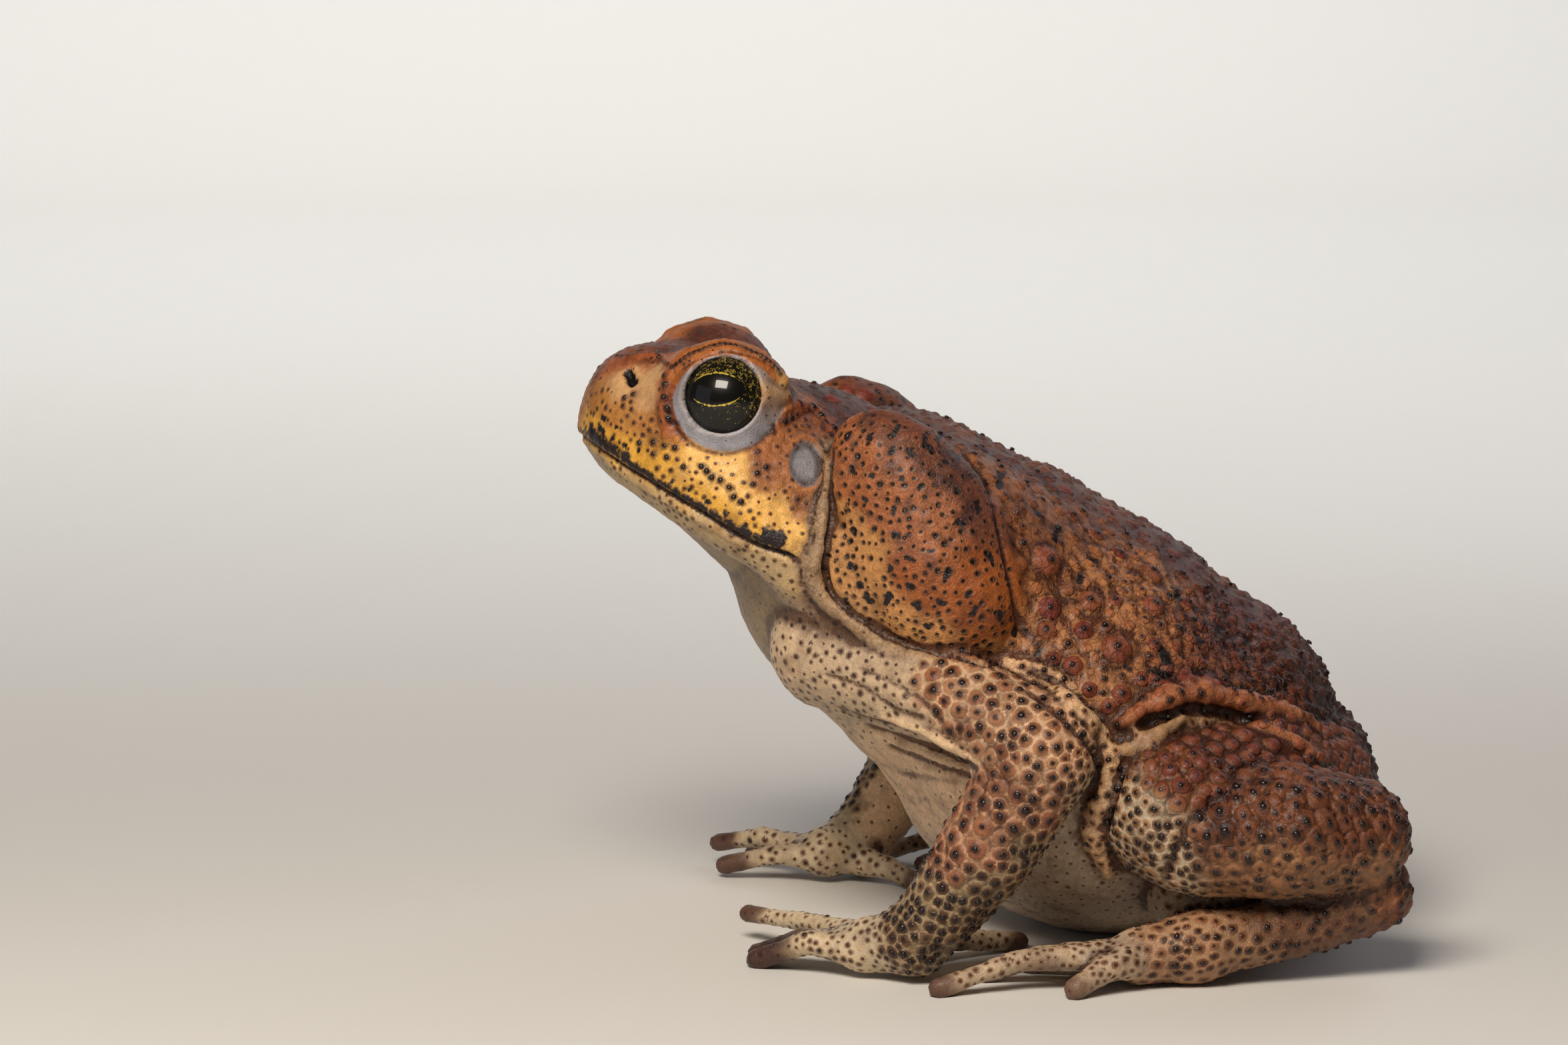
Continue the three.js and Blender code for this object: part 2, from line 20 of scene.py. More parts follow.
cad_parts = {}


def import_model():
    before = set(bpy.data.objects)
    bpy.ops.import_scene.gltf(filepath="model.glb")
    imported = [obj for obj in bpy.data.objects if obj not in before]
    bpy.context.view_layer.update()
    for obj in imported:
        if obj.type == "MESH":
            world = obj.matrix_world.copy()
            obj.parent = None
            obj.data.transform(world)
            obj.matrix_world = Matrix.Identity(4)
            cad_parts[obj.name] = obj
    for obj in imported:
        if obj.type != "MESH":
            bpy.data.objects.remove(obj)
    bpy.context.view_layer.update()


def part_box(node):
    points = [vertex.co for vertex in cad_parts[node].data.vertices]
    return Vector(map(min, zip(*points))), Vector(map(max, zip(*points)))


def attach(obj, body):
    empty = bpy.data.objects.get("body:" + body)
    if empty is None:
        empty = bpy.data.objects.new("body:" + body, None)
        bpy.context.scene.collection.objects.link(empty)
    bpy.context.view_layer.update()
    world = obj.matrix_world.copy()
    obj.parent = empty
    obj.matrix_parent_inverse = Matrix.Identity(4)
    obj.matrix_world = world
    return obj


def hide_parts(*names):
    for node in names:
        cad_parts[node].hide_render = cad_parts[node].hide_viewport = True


log = logging.getLogger("toad")

Array = np.ndarray
Ball = tuple[float, float, float, float]
Point = tuple[float, float, float]
Pixel = tuple[float, float]

# A millimetre in metres, a depth beyond every form, how far from a form depths stay true, and the draws' seed
MM = 0.001
FAR = 1e3
BAND = 5.0
SEED = 11


class Side(Enum):
    """The side of the body that a form serves."""

    LEFT = -1
    BOTH = 0
    RIGHT = 1


def folded(points: Array, side: Side) -> tuple[Array, Array, Array]:
    """Splits points into x, w and z.

    Args:
        points: Rows of x, y and z.
        side: The side served, or both.

    Returns:
        x, the distance w from the middle plane on that side, and z.
    """
    y = points[:, 1]
    w = np.abs(y) if side is Side.BOTH else y * side.value
    return points[:, 0], w, points[:, 2]


def folded_rows(points: Array) -> Array:
    """Points with the distance from the middle plane in place of y."""
    return np.stack(folded(points, Side.BOTH), 1)


def smooth_min(a: Array, b: Array, soft: float) -> Array:
    """The lesser of two distances, rounded where they meet.

    Args:
        a: Distances to one form.
        b: Distances to the other.
        soft: Size of the fillet between them.

    Returns:
        The distances to both together.
    """
    near = np.maximum(soft - np.abs(a - b), 0) / soft
    return np.minimum(a, b) - near * near * soft / 4


class Form(Protocol):
    """A rounded solid given by the distance to its surface, negative inside."""

    side: Side

    def depth(self, points: Array) -> Array:
        """The distance from each point to the surface."""
        ...

    def box(self) -> tuple[Array, Array]:
        """The lowest and highest x, w and z of the form."""
        ...


@dataclass(frozen=True)
class Chain:
    """Balls joined by cones, spread sideways from the middle plane where widen is over 1."""

    balls: tuple[Ball, ...]
    widen: float = 1.0
    side: Side = Side.BOTH

    def depth(self, points: Array) -> Array:
        """The distance from each point to the surface.

        Args:
            points: Rows of x, y and z.

        Returns:
            Millimetres, negative inside.
        """
        x, w, z = folded(points, self.side)
        nearest = np.full(len(x), FAR, points.dtype)
        for start, end in zip(self.balls, self.balls[1:]):
            bx, bw, bz = end[0] - start[0], (end[1] - start[1]) / self.widen, end[2] - start[2]
            ax, aw, az = x - start[0], (w - start[1]) / self.widen, z - start[2]
            t = np.clip((ax * bx + aw * bw + az * bz) / (bx * bx + bw * bw + bz * bz), 0, 1)
            away = np.sqrt((ax - t * bx) ** 2 + (aw - t * bw) ** 2 + (az - t * bz) ** 2)
            nearest = np.minimum(nearest, away - (start[3] + t * (end[3] - start[3])))
        return nearest

    def box(self) -> tuple[Array, Array]:
        """The lowest and highest x, w and z of the form."""
        balls = np.array(self.balls)
        spread = balls[:, 3:] * np.array([1.0, self.widen, 1.0])
        return (balls[:, :3] - spread).min(0), (balls[:, :3] + spread).max(0)


@dataclass(frozen=True)
class Ellipsoid:
    """An ellipsoid, pitched nose up and then turned so that its front points inwards, in degrees."""

    centre: Point
    radii: Point
    pitch: float = 0.0
    turn: float = 0.0
    side: Side = Side.BOTH

    def depth(self, points: Array) -> Array:
        """The distance from each point to the surface, close to true near it.

        Args:
            points: Rows of x, y and z.

        Returns:
            Millimetres, negative inside.
        """
        x, w, z = folded(points, self.side)
        pitched = Matrix.Rotation(math.radians(self.pitch), 3, "Y")
        turned = Matrix.Rotation(math.radians(self.turn), 3, "Z") @ pitched
        inverse = np.array(turned.transposed(), points.dtype)
        radii = np.array(self.radii, points.dtype)[:, None]
        local = inverse @ np.stack([x - self.centre[0], w - self.centre[1], z - self.centre[2]]) / radii
        size = np.sqrt((local**2).sum(0))
        slope = np.sqrt(((local / radii) ** 2).sum(0))
        return size * (size - 1) / np.maximum(slope, 1e-6)

    def box(self) -> tuple[Array, Array]:
        """The lowest and highest x, w and z that the form can reach."""
        centre, reach = np.array(self.centre), max(self.radii)
        return centre - reach, centre + reach


@dataclass(frozen=True)
class Web:
    """A thin skin between three points, such as the web between two toes."""

    corners: tuple[Point, Point, Point]
    thick: float
    side: Side = Side.BOTH

    def depth(self, points: Array) -> Array:
        """The distance from each point to the surface.

        Args:
            points: Rows of x, y and z.

        Returns:
            Millimetres, negative inside.
        """
        p = np.stack(folded(points, self.side), 1)
        a, b, c = (np.array(v, points.dtype) for v in self.corners)
        normal = np.cross(b - a, c - a)
        normal = normal / np.linalg.norm(normal)
        nearest = np.full(len(p), FAR, points.dtype)
        inside = np.ones(len(p), bool)
        for start, end in ((a, b), (b, c), (c, a)):
            edge = end - start
            offset = p - start
            t = np.clip(offset @ edge / (edge @ edge), 0, 1)
            nearest = np.minimum(nearest, np.linalg.norm(offset - t[:, None] * edge, axis=1))
            inside &= offset @ np.cross(normal, edge) > 0
        return np.where(inside, np.abs((p - a) @ normal), nearest) - self.thick / 2

    def box(self) -> tuple[Array, Array]:
        """The lowest and highest x, w and z of the form."""
        corners = np.array(self.corners)
        return corners.min(0) - self.thick, corners.max(0) + self.thick


@dataclass(frozen=True)
class Group:
    """Forms joined one after another, each with its own fillet, and forms cut out at the end."""

    parts: tuple[tuple[Form, float], ...]
    cuts: tuple[tuple[Form, float], ...] = ()
    side: Side = Side.BOTH

    def depth(self, points: Array) -> Array:
        """The distance from each point to the surface, true within BAND of it.

        Args:
            points: Rows of x, y and z.

        Returns:
            Millimetres, negative inside.
        """
        total = np.full(len(points), FAR, points.dtype)
        for number, (form, soft) in enumerate((*self.parts, *self.cuts)):
            sign = 1 if number < len(self.parts) else -1
            near = self.within(form, points, BAND + soft)
            total[near] = sign * smooth_min(sign * total[near], form.depth(points[near]), soft)
        return total

    @staticmethod
    def within(form: Form, points: Array, margin: float) -> Array:
        """The places of the points in or near a form's box.

        Args:
            form: The form.
            points: Rows of x, y and z.
            margin: How far outside the box still counts.

        Returns:
            Their row numbers.
        """
        low, high = form.box()
        places = np.stack(folded(points, form.side), 1)
        return np.flatnonzero(((places > low - margin) & (places < high + margin)).all(1))

    def box(self) -> tuple[Array, Array]:
        """The lowest and highest x, w and z that the parts reach."""
        boxes = [form.box() for form, _ in self.parts]
        return np.min([b[0] for b in boxes], 0), np.max([b[1] for b in boxes], 0)


def normal_at(form: Form, points: Array) -> Array:
    """The outward direction of a form at some points.

    Args:
        form: The form.
        points: Rows of x, y and z near its surface.

    Returns:
        A unit vector for each point.
    """
    steps = 0.04 * np.eye(3, dtype=points.dtype)
    slope = np.stack([form.depth(points + step) - form.depth(points - step) for step in steps], 1)
    return slope / np.maximum(np.linalg.norm(slope, axis=1, keepdims=True), 1e-9)


def set_onto(form: Form, points: Array, rounds: int = 4) -> Array:
    """Moves nearby points onto a form's surface.

    Args:
        form: The form.
        points: Rows of x, y and z.
        rounds: How often each point is moved.

    Returns:
        The points on the surface.
    """
    for _ in range(rounds):
        move = np.clip(form.depth(points), -1.5, 1.5)
        points = points - normal_at(form, points) * move[:, None]
    return points


# The eye's own frame, and forms given in it as along, out and up

EYE_CENTRE: Point = (-45.9, 17.0, 88.6)
EYE_RADIUS = 7.2
GAZE: Point = (-0.19, 0.955, 0.22)


def eye_axes() -> Array:
    """The eye's own directions, where w grows outwards.

    Returns:
        Columns along the eye slit, out of the eye and up.
    """
    gaze = Vector(GAZE).normalized()
    turn = Vector((0, 1, 0)).rotation_difference(gaze)
    return np.array(turn.to_matrix())


def by_eye(along: float, out: float, up: float) -> Point:
    """A point of the eye's frame in x, w and z.

    Args:
        along: Millimetres towards the rump.
        out: Millimetres outwards.
        up: Millimetres upwards.

    Returns:
        The point in the toad's frame.
    """
    place = np.array(EYE_CENTRE) + eye_axes() @ np.array([along, out, up])
    return (float(place[0]), float(place[1]), float(place[2]))


def chain_by_eye(*balls: Ball) -> Chain:
    """A chain of balls given in the eye's frame."""
    return Chain(tuple((*by_eye(*ball[:3]), ball[3]) for ball in balls))


TRUNK_BALLS = (
    (-30.5, 0, 70.5, 17.2), (-18.5, 0, 59.8, 25), (-3.4, 0, 49.2, 28), (10.5, 0, 37.8, 31),
    (28.5, 0, 29.6, 26.6), (43.5, 0, 21.8, 18), (51, 0, 15.5, 9.5),
)
UPPER_LIP = (
    (-63.8, 0, 82, 2.6), (-61.4, 8.6, 80.4, 2.7), (-55, 16.4, 76.8, 2.8), (-46.4, 21.4, 71.8, 3),
    (-37, 24.2, 67, 3),
)
LOWER_LIP = (
    (-62.2, 0, 77.6, 2.4), (-59.8, 8.4, 76.4, 2.5), (-53, 16, 72.4, 2.6), (-44.6, 20.8, 67.2, 2.8),
    (-36, 23.2, 62.2, 3.2),
)
TRUNK = Group(
    (
        (Chain(TRUNK_BALLS, widen=1.22), 7),
        (Ellipsoid((15.5, 0, 21.8), (29, 34, 22.3), 8), 7),
        (Ellipsoid((13, 24, 33), (27, 17, 23), 20), 7),
        (Ellipsoid((-14, 19, 61), (19, 14, 19), 45), 7),
    )
)
SKULL = Group(
    (
        (Ellipsoid((-43.5, 0, 79), (22.5, 21.4, 12.6), 20), 6),
        (Ellipsoid((-55.5, 0, 85.3), (11, 13, 9.6), 14), 6),
        (Ellipsoid((-38.5, 15, 73), (14.5, 9.6, 9.2), 25), 6),
        (Ellipsoid((-45.6, 14.2, 89.2), (10, 8.2, 8.2), 8), 6),
        (Chain(UPPER_LIP), 6),
    )
)
JAW = Group(((Chain(LOWER_LIP), 5), (Ellipsoid((-45, 0, 70.4), (18.5, 20.4, 7.6), 34), 5)))
LID_SHELL = Ellipsoid(EYE_CENTRE, (7.75, 7.75, 7.75))
LID_CORNER = chain_by_eye((6.2, 3.0, 0.2, 1.6), (9.2, -0.6, 0.2, 1.0))
BROW = chain_by_eye(
    (-8.4, 0.8, 3.6, 1.2), (-5.8, 1.4, 6.0, 1.7), (-0.4, 1.8, 7.2, 1.9), (5.4, 1.4, 5.7, 1.7),
    (8.8, 0.6, 2.6, 1.1),
)
EYE_HOLE = Chain(((*EYE_CENTRE, 5.9), (*by_eye(0, 14, 0), 6.2)))
GLAND = Group(
    (
        (Ellipsoid((-16.3, 26.4, 69.4), (20, 8.6, 12), 56, 16), 5),
        (Ellipsoid((-13.6, 30.4, 59.4), (13.4, 8, 10.4), 38, 12), 5),
    )
)
UPPER_ARM = Chain(((-29, 17, 49, 10), (-11, 36.5, 43.2, 7.4), (0, 43.5, 37.2, 7.8)))
FOREARM = Chain(((0.6, 44, 35.4, 7.7), (-7.5, 43.5, 21.8, 7.2), (-15, 41, 11, 5.9), (-18.5, 39.5, 7.2, 5.2)))
THIGH = Chain(((45, 12, 24, 13), (35, 29.5, 27.4, 12.8), (22.2, 40, 26.4, 11.6)))
SHANK = Chain(((25, 43, 23.4, 9.6), (38, 46, 24, 10.2), (48.8, 44, 22.6, 8.8)))
TARSUS = Chain(((53, 43, 13.2, 5.3), (44, 43.5, 9.2, 4.7), (33, 44.5, 7.2, 4.7), (24, 45.5, 5.8, 4.9)))
PALM = ((-18.5, 39.4, 6.2, 5), (-25.2, 35.4, 5, 4.3))
SOLE = ((25, 45.2, 6, 5), (15.5, 46, 4.8, 4.4))
FINGERS = {
    Side.LEFT: (
        ((-20, 31, 4, 2.6), (-11, 25, 3.2, 1.9), (0.5, 19, 1.2, 1.6)),
        ((-26.5, 30.5, 5.4, 2.5), (-34, 19, 5.2, 1.5), (-41.9, 9, 4.4, 1.4)),
        ((-28.5, 33.5, 5, 2.4), (-35, 28.4, 4.4, 1.8), (-41.5, 23.5, 1.2, 1.6)),
        ((-27, 36.5, 4, 2.6), (-34.5, 33, 5, 1.9), (-42, 28, 1.2, 1.7)),
    ),
    Side.RIGHT: (
        ((-19, 33.5, 3.6, 2.6), (-15, 30.5, 3, 2), (-11, 27, 1.3, 1.7)),
        ((-25.5, 33.5, 4.2, 2.5), (-33.5, 35, 4.8, 1.7), (-42, 39, 2.2, 1.6)),
        ((-27.5, 37, 4.8, 2.4), (-35, 42.5, 6.2, 1.7), (-42.4, 49, 4, 1.5)),
        ((-25.5, 40, 4.2, 2.5), (-31, 46.5, 4.4, 1.8), (-36, 53, 1.4, 1.6)),
    ),
}
TOES = (
    ((15, 41, 4, 2.4), (10.5, 36.5, 3.6, 1.7), (7, 33, 1.2, 1.5)),
    ((12, 42.5, 4.2, 2.4), (5.5, 38.5, 3.8, 1.7), (0, 35.5, 1.2, 1.5)),
    ((9.5, 44.5, 4.6, 2.4), (0.5, 42.5, 4.2, 1.7), (-8, 41, 1.2, 1.5)),
    ((8.5, 46.8, 5, 2.4), (-3.8, 47.8, 4.8, 1.6), (-16, 50, 1.2, 1.6)),
    ((13, 49.4, 4.6, 2.7), (9.4, 51, 4, 2.1), (4.6, 53, 1.3, 1.8)),
)


def digit(root: Ball, joints: Iterable[Ball], side: Side = Side.BOTH) -> Chain:
    """A finger or toe, waisted between its joints.

    Args:
        root: The ball of the palm or sole that it grows from.
        joints: Its knuckle, middle joint and tip.
        side: The side of the body.

    Returns:
        The digit as one chain.
    """
    balls = [(root[0], root[1], root[2], joints[0][3])]
    for ball in joints:
        last = balls[-1]
        middle = [(a + b) / 2 for a, b in zip(last, ball)]
        balls += [(middle[0], middle[1], middle[2], middle[3] * 0.92), ball]
    return Chain(tuple(balls), side=side)


def hand(side: Side) -> Group:
    """The palm and four fingers of one side."""
    fingers = [(digit(PALM[1], joints, side), 1.6) for joints in FINGERS[side]]
    return Group(((Chain(PALM, side=side), 2.0), *fingers), side=side)


def foot() -> Group:
    """The sole, five toes and the webs between them.

    Returns:
        The foot.
    """
    toes = [(digit(SOLE[1], joints), 1.4) for joints in TOES]
    webs = []
    for one, other in zip(TOES, TOES[1:]):
        edge = [tuple(a + 0.55 * (b - a) for a, b in zip(*joints[:2])) for joints in (one, other)]
        webs.append((Web((SOLE[1][:3], edge[0][:3], edge[1][:3]), 1.4), 1.2))
    return Group(((Chain(SOLE), 2.0), *toes, *webs))


HAND_LEFT, HAND_RIGHT, FOOT = hand(Side.LEFT), hand(Side.RIGHT), foot()
BODY = Group(((TRUNK, 6), (Group(((SKULL, 3), (JAW, 3))), 6)))
WHOLE_ARM = Group(((UPPER_ARM, 1), (FOREARM, 3.2), (HAND_LEFT, 2.4), (HAND_RIGHT, 2.4)))
HAM = Chain(((25, 32.5, 12, 6.5), (40, 34, 13.5, 6)))
WHOLE_LEG = Group(((THIGH, 1), (HAM, 3), (SHANK, 1.3), (TARSUS, 2.8), (FOOT, 2.2)))
FLESH = Group(
    (
        (BODY, 1),
        (LID_SHELL, 1.6),
        (LID_CORNER, 1.0),
        (BROW, 1.2),
        (GLAND, 1.1),
        (WHOLE_ARM, 1.3),
        (WHOLE_LEG, 1.0),
    ),
    cuts=((EYE_HOLE, 0.4),),
)


def mean_of_neighbours(points: Array, triangles: Array) -> Array:
    """The mean place of each vertex's neighbours.

    Args:
        points: The vertices.
        triangles: The triangles of a closed mesh.

    Returns:
        A place for each vertex.
    """
    ends = np.concatenate([triangles[:, [0, 1]], triangles[:, [1, 2]], triangles[:, [2, 0]]])
    totals = [np.bincount(ends[:, 0], points[ends[:, 1], n], len(points)) for n in range(3)]
    return np.stack(totals, 1) / np.bincount(ends[:, 0], minlength=len(points))[:, None]


@dataclass
class Mesher:
    """Turns a form into a closed triangle mesh: a grid of cells, then finer triangles where they are wanted.

    The grid runs from low to high and is filled block by block, since most blocks lie far from the surface.
    """

    form: Form
    cell: float
    low: Point = (-72.0, -62.0, -2.5)
    high: Point = (68.0, 62.0, 102.0)
    block: int = 4

    def values(self) -> Array:
        """The form's depth at the grid's nodes.

        Returns:
            Depths on a grid of x, y and z, exact near the surface only.
        """
        low, size = np.array(self.low), self.cell * self.block
        blocks = np.ceil((np.array(self.high) - low) / size).astype(int)
        index = np.indices(blocks).reshape(3, -1).T
        rough = self.form.depth((low + (index + 0.5) * size).astype(np.float32))
        grown = rough.reshape(blocks)
        for axis in range(3):
            grown = np.repeat(grown, self.block, axis)
        grid = np.full(blocks * self.block + 1, FAR, np.float32)
        grid[:-1, :-1, :-1] = grown
        half_diagonal, slack = size * 0.87, 1.35
        near = index[np.abs(rough) < half_diagonal * slack] * self.block
        steps = np.indices([self.block + 1] * 3).reshape(3, -1).T
        nodes = np.zeros(grid.shape, bool)
        nodes[tuple((near[:, None] + steps).reshape(-1, 3).T)] = True
        grid[nodes] = self.form.depth((low + np.argwhere(nodes) * self.cell).astype(np.float32))
        return self.untangled(grid)

    @staticmethod
    def untangled(grid: Array) -> Array:
        """Fills nodes round a face with two opposite corners inside, where two sheets would share an edge.

        Args:
            grid: Depths at the grid's nodes, changed in place.

        Returns:
            The grid.
        """
        for _ in range(6):
            inside = grid < 0
            fill = np.zeros_like(inside)
            for axis in range(3):
                turned = np.moveaxis(inside, axis, 0)
                marks = np.moveaxis(fill, axis, 0)
                a, b = turned[:, :-1, :-1], turned[:, 1:, :-1]
                c, d = turned[:, 1:, 1:], turned[:, :-1, 1:]
                crossed = (a & c & ~b & ~d) | (~a & ~c & b & d)
                for corner in (marks[:, :-1, :-1], marks[:, 1:, :-1], marks[:, 1:, 1:], marks[:, :-1, 1:]):
                    corner |= crossed
            fill &= ~inside
            if not fill.any():
                break
            grid[fill] = -0.05
        return grid

    def surface(self) -> tuple[Array, Array]:
        """The surface as one vertex a cell, joined to triangles.

        Returns:
            Vertices and triangles.
        """
        grid = self.values()
        corners = np.indices((2, 2, 2)).reshape(3, -1).T
        size = np.array(grid.shape) - 1
        inside = grid < 0
        count = np.zeros(size, np.int8)
        for i, j, k in corners:
            count += inside[i : i + size[0], j : j + size[1], k : k + size[2]]
        cells = np.argwhere((count > 0) & (count < 8))
        number = np.full(size, -1, np.int64)
        number[tuple(cells.T)] = np.arange(len(cells))
        depth = np.stack([grid[tuple((cells + c).T)] for c in corners], 1)
        total, crossings = np.zeros((len(cells), 3)), np.zeros(len(cells))
        for a, axis in ((a, axis) for a in range(8) for axis in range(3) if not corners[a][axis]):
            start, end = depth[:, a], depth[:, a | 4 >> axis]
            crossed = (start < 0) != (end < 0)
            t = start[crossed] / (start - end)[crossed]
            total[crossed] += corners[a] + t[:, None] * np.eye(3)[axis]
            crossings[crossed] += 1
        vertices = np.array(self.low) + self.cell * (cells + total / crossings[:, None])
        quads = []
        for axis in range(3):
            ahead = np.diff(inside.astype(np.int8), axis=axis)
            edges = np.argwhere(ahead != 0)
            sign = ahead[tuple(edges.T)]
            one, other = (np.eye(3, dtype=int)[n] for n in range(3) if n != axis)
            beside = (0 * one, -one, -one - other, -other)
            ring = np.stack([number[tuple((edges + step).T)] for step in beside], 1)
            outwards = (sign < 0) == (axis != 1)
            ring[~outwards] = ring[~outwards][:, ::-1]
            quads.append(ring)
        quads = np.concatenate(quads)
        return vertices, np.concatenate([quads[:, [0, 1, 2]], quads[:, [0, 2, 3]]])

    def relaxed(self, vertices: Array, triangles: Array, rounds: int) -> Array:
        """Evens out the triangles and keeps every vertex on the form.

        Args:
            vertices: The vertices.
            triangles: The triangles.
            rounds: How often each vertex moves towards its neighbours.

        Returns:
            The moved vertices.
        """
        for _ in range(rounds):
            shift = mean_of_neighbours(vertices, triangles) - vertices
            normal = normal_at(self.form, vertices)
            shift -= normal * (shift * normal).sum(1, keepdims=True)
            vertices = set_onto(self.form, vertices + 0.6 * shift, 1)
        return vertices

    @staticmethod
    def split(vertices: Array, triangles: Array, longest: Callable[[Array], Array]) -> tuple[Array, Array]:
        """Halves every edge that is longer than wanted at its place.

        Args:
            vertices: The vertices.
            triangles: The triangles.
            longest: Gives the greatest edge length wanted at some points.

        Returns:
            The new vertices and triangles.
        """
        total = len(vertices)
        ends = np.sort(np.stack([triangles, np.roll(triangles, -1, 1)], -1), -1)
        keys, edge = np.unique(ends[..., 0] * total + ends[..., 1], return_inverse=True)
        first, second = vertices[keys // total], vertices[keys % total]
        middle = (first + second) / 2
        cut = np.linalg.norm(second - first, axis=1) > longest(middle)
        number = np.where(cut, total + np.cumsum(cut) - 1, -1)
        halves = number[edge.reshape(-1, 3)]
        pieces = []
        for count in range(4):
            chosen = (halves >= 0).sum(1) == count
            t, h = triangles[chosen], halves[chosen]
            if count in (1, 2):
                lead = np.argmax(h >= 0, 1) if count == 1 else (np.argmin(h >= 0, 1) + 1) % 3
                order = (lead[:, None] + np.arange(3)) % 3
                t, h = np.take_along_axis(t, order, 1), np.take_along_axis(h, order, 1)
            a, b, c = t.T
            p, q, r = h.T
            made = {
                0: [(a, b, c)],
                1: [(a, p, c), (p, b, c)],
                2: [(p, b, q), (a, p, q), (a, q, c)],
                3: [(a, p, r), (p, b, q), (r, q, c), (p, q, r)],
            }[count]
            pieces += [np.stack(corner, 1) for corner in made]
        return np.concatenate([vertices, middle[cut]]), np.concatenate(pieces)

    def build(self, longest: Callable[[Array], Array], rounds: int) -> tuple[Array, Array]:
        """The finished mesh of the form.

        Args:
            longest: Gives the greatest edge length wanted at some points.
            rounds: How often edges are halved.

        Returns:
            Vertices and triangles.
        """
        vertices, triangles = self.surface()
        vertices = set_onto(self.form, vertices, 3)
        vertices = self.relaxed(vertices, triangles, 2)
        for _ in range(rounds):
            vertices, triangles = self.split(vertices, triangles, longest)
            vertices = self.relaxed(vertices, triangles, 1)
        return set_onto(self.form, vertices, 3), triangles


# The photograph's camera, and the places that it shows

Site = tuple[float, ...]


@dataclass(frozen=True)
class PhotoView:
    """The photograph's view: a long lens to the toad's left, a little in front of it and above."""

    turn: float = 5.0
    tilt: float = 8.1
    distance: float = 820.0
    focal: float = 7544.0
    size: tuple[int, int] = (2352, 1568)
    aim: Pixel = (1500, 1385)

    def axes(self) -> Array:
        """The camera's own directions.

        Returns:
            Rows ahead, to the right and up.
        """
        phi, theta = math.radians(self.turn), math.radians(self.tilt)
        ahead = (math.sin(phi) * math.cos(theta), math.cos(phi) * math.cos(theta), -math.sin(theta))
        right = (math.cos(phi), -math.sin(phi), 0.0)
        up = (math.sin(phi) * math.sin(theta), math.cos(phi) * math.sin(theta), math.cos(theta))
        return np.array([ahead, right, up])

    def rays(self, pixels: Array) -> Array:
        """Directions through pixels, a millimetre ahead each.

        Args:
            pixels: Rows of x and y.

        Returns:
            A vector for each pixel.
        """
        ahead, right, up = self.axes()
        across = (pixels[:, 0] - self.size[0] / 2) / self.focal
        below = (pixels[:, 1] - self.size[1] / 2) / self.focal
        return ahead + across[:, None] * right - below[:, None] * up

    def place(self) -> Array:
        """Where the camera stands, in millimetres."""
        return -self.distance * self.rays(np.array([self.aim], float))[0]

    def sites(self, sites: Sequence[Site]) -> Array:
        """Places given as pixels, or as x, w and z.

        Args:
            sites: The places.

        Returns:
            Rows of x, w and z, those of pixels on the flesh that the pixel shows.
        """
        places = [site if len(site) == 3 else (0.0, 0.0, 0.0) for site in sites]
        seen = [number for number, site in enumerate(sites) if len(site) == 2]
        if seen:
            origin = Vector(self.place())
            rays = self.rays(np.array([sites[number] for number in seen], float))
            for number, ray in zip(seen, rays.tolist()):
                hit = flesh_tree().ray_cast(origin, Vector(ray))[0]
                if hit is None:
                    log.warning("pixel off the toad: %s", sites[number])
                    hit = flesh_tree().find_nearest(origin + Vector(ray) * self.distance)[0]
                places[number] = (hit.x, abs(hit.y), hit.z)
        return np.array(places, float)


@lru_cache
def flesh_tree() -> bvhtree.BVHTree:
    """The bare flesh, coarsely meshed and ready for rays."""
    points, triangles = Mesher(FLESH, 1.3).surface()
    return bvhtree.BVHTree.FromPolygons(set_onto(FLESH, points, 2).tolist(), triangles.tolist())


def resampled(path: Sequence[Site], count: int) -> list[Site]:
    """A smooth path through given places.

    Args:
        path: The places.
        count: Steps between two of them.

    Returns:
        The places of the smooth path.
    """
    ends = [path[0], *path, path[-1]]
    made: list[Site] = []
    for a, b, c, d in zip(ends, ends[1:], ends[2:], ends[3:]):
        for step in range(count):
            t = step / count
            weights = (
                (-t + 2 * t**2 - t**3) / 2,
                (2 - 5 * t**2 + 3 * t**3) / 2,
                (t + 4 * t**2 - 3 * t**3) / 2,
                (t**3 - t**2) / 2,
            )
            made.append(tuple(sum(w * p[n] for w, p in zip(weights, (a, b, c, d))) for n in range(len(b))))
    return [*made, tuple(path[-1])]


VIEW = PhotoView()


# How each stretch of skin looks


def linear(colour: str) -> tuple[float, float, float, float]:
    """An sRGB colour as linear light.

    Args:
        colour: Six hex digits.

    Returns:
        Red, green, blue and full cover.
    """
    parts = [int(colour[n : n + 2], 16) / 255 for n in (0, 2, 4)]
    red, green, blue = (c / 12.92 if c <= 0.04045 else ((c + 0.055) / 1.055) ** 2.4 for c in parts)
    return (red, green, blue, 1.0)


@dataclass(frozen=True)
class Look:
    """The look of one stretch of skin: its colours, and the warts or pores that cover it."""

    ground: str
    dome: str
    tip: str
    spacing: float
    height: float
    spot: float
    share: float = 1.0
    dusk: float = 0.0
    crease: float = 0.0
    grain: float = 0.3
    fill: float = 0.95
    lean: Point = (0.0, 0.0, 0.0)


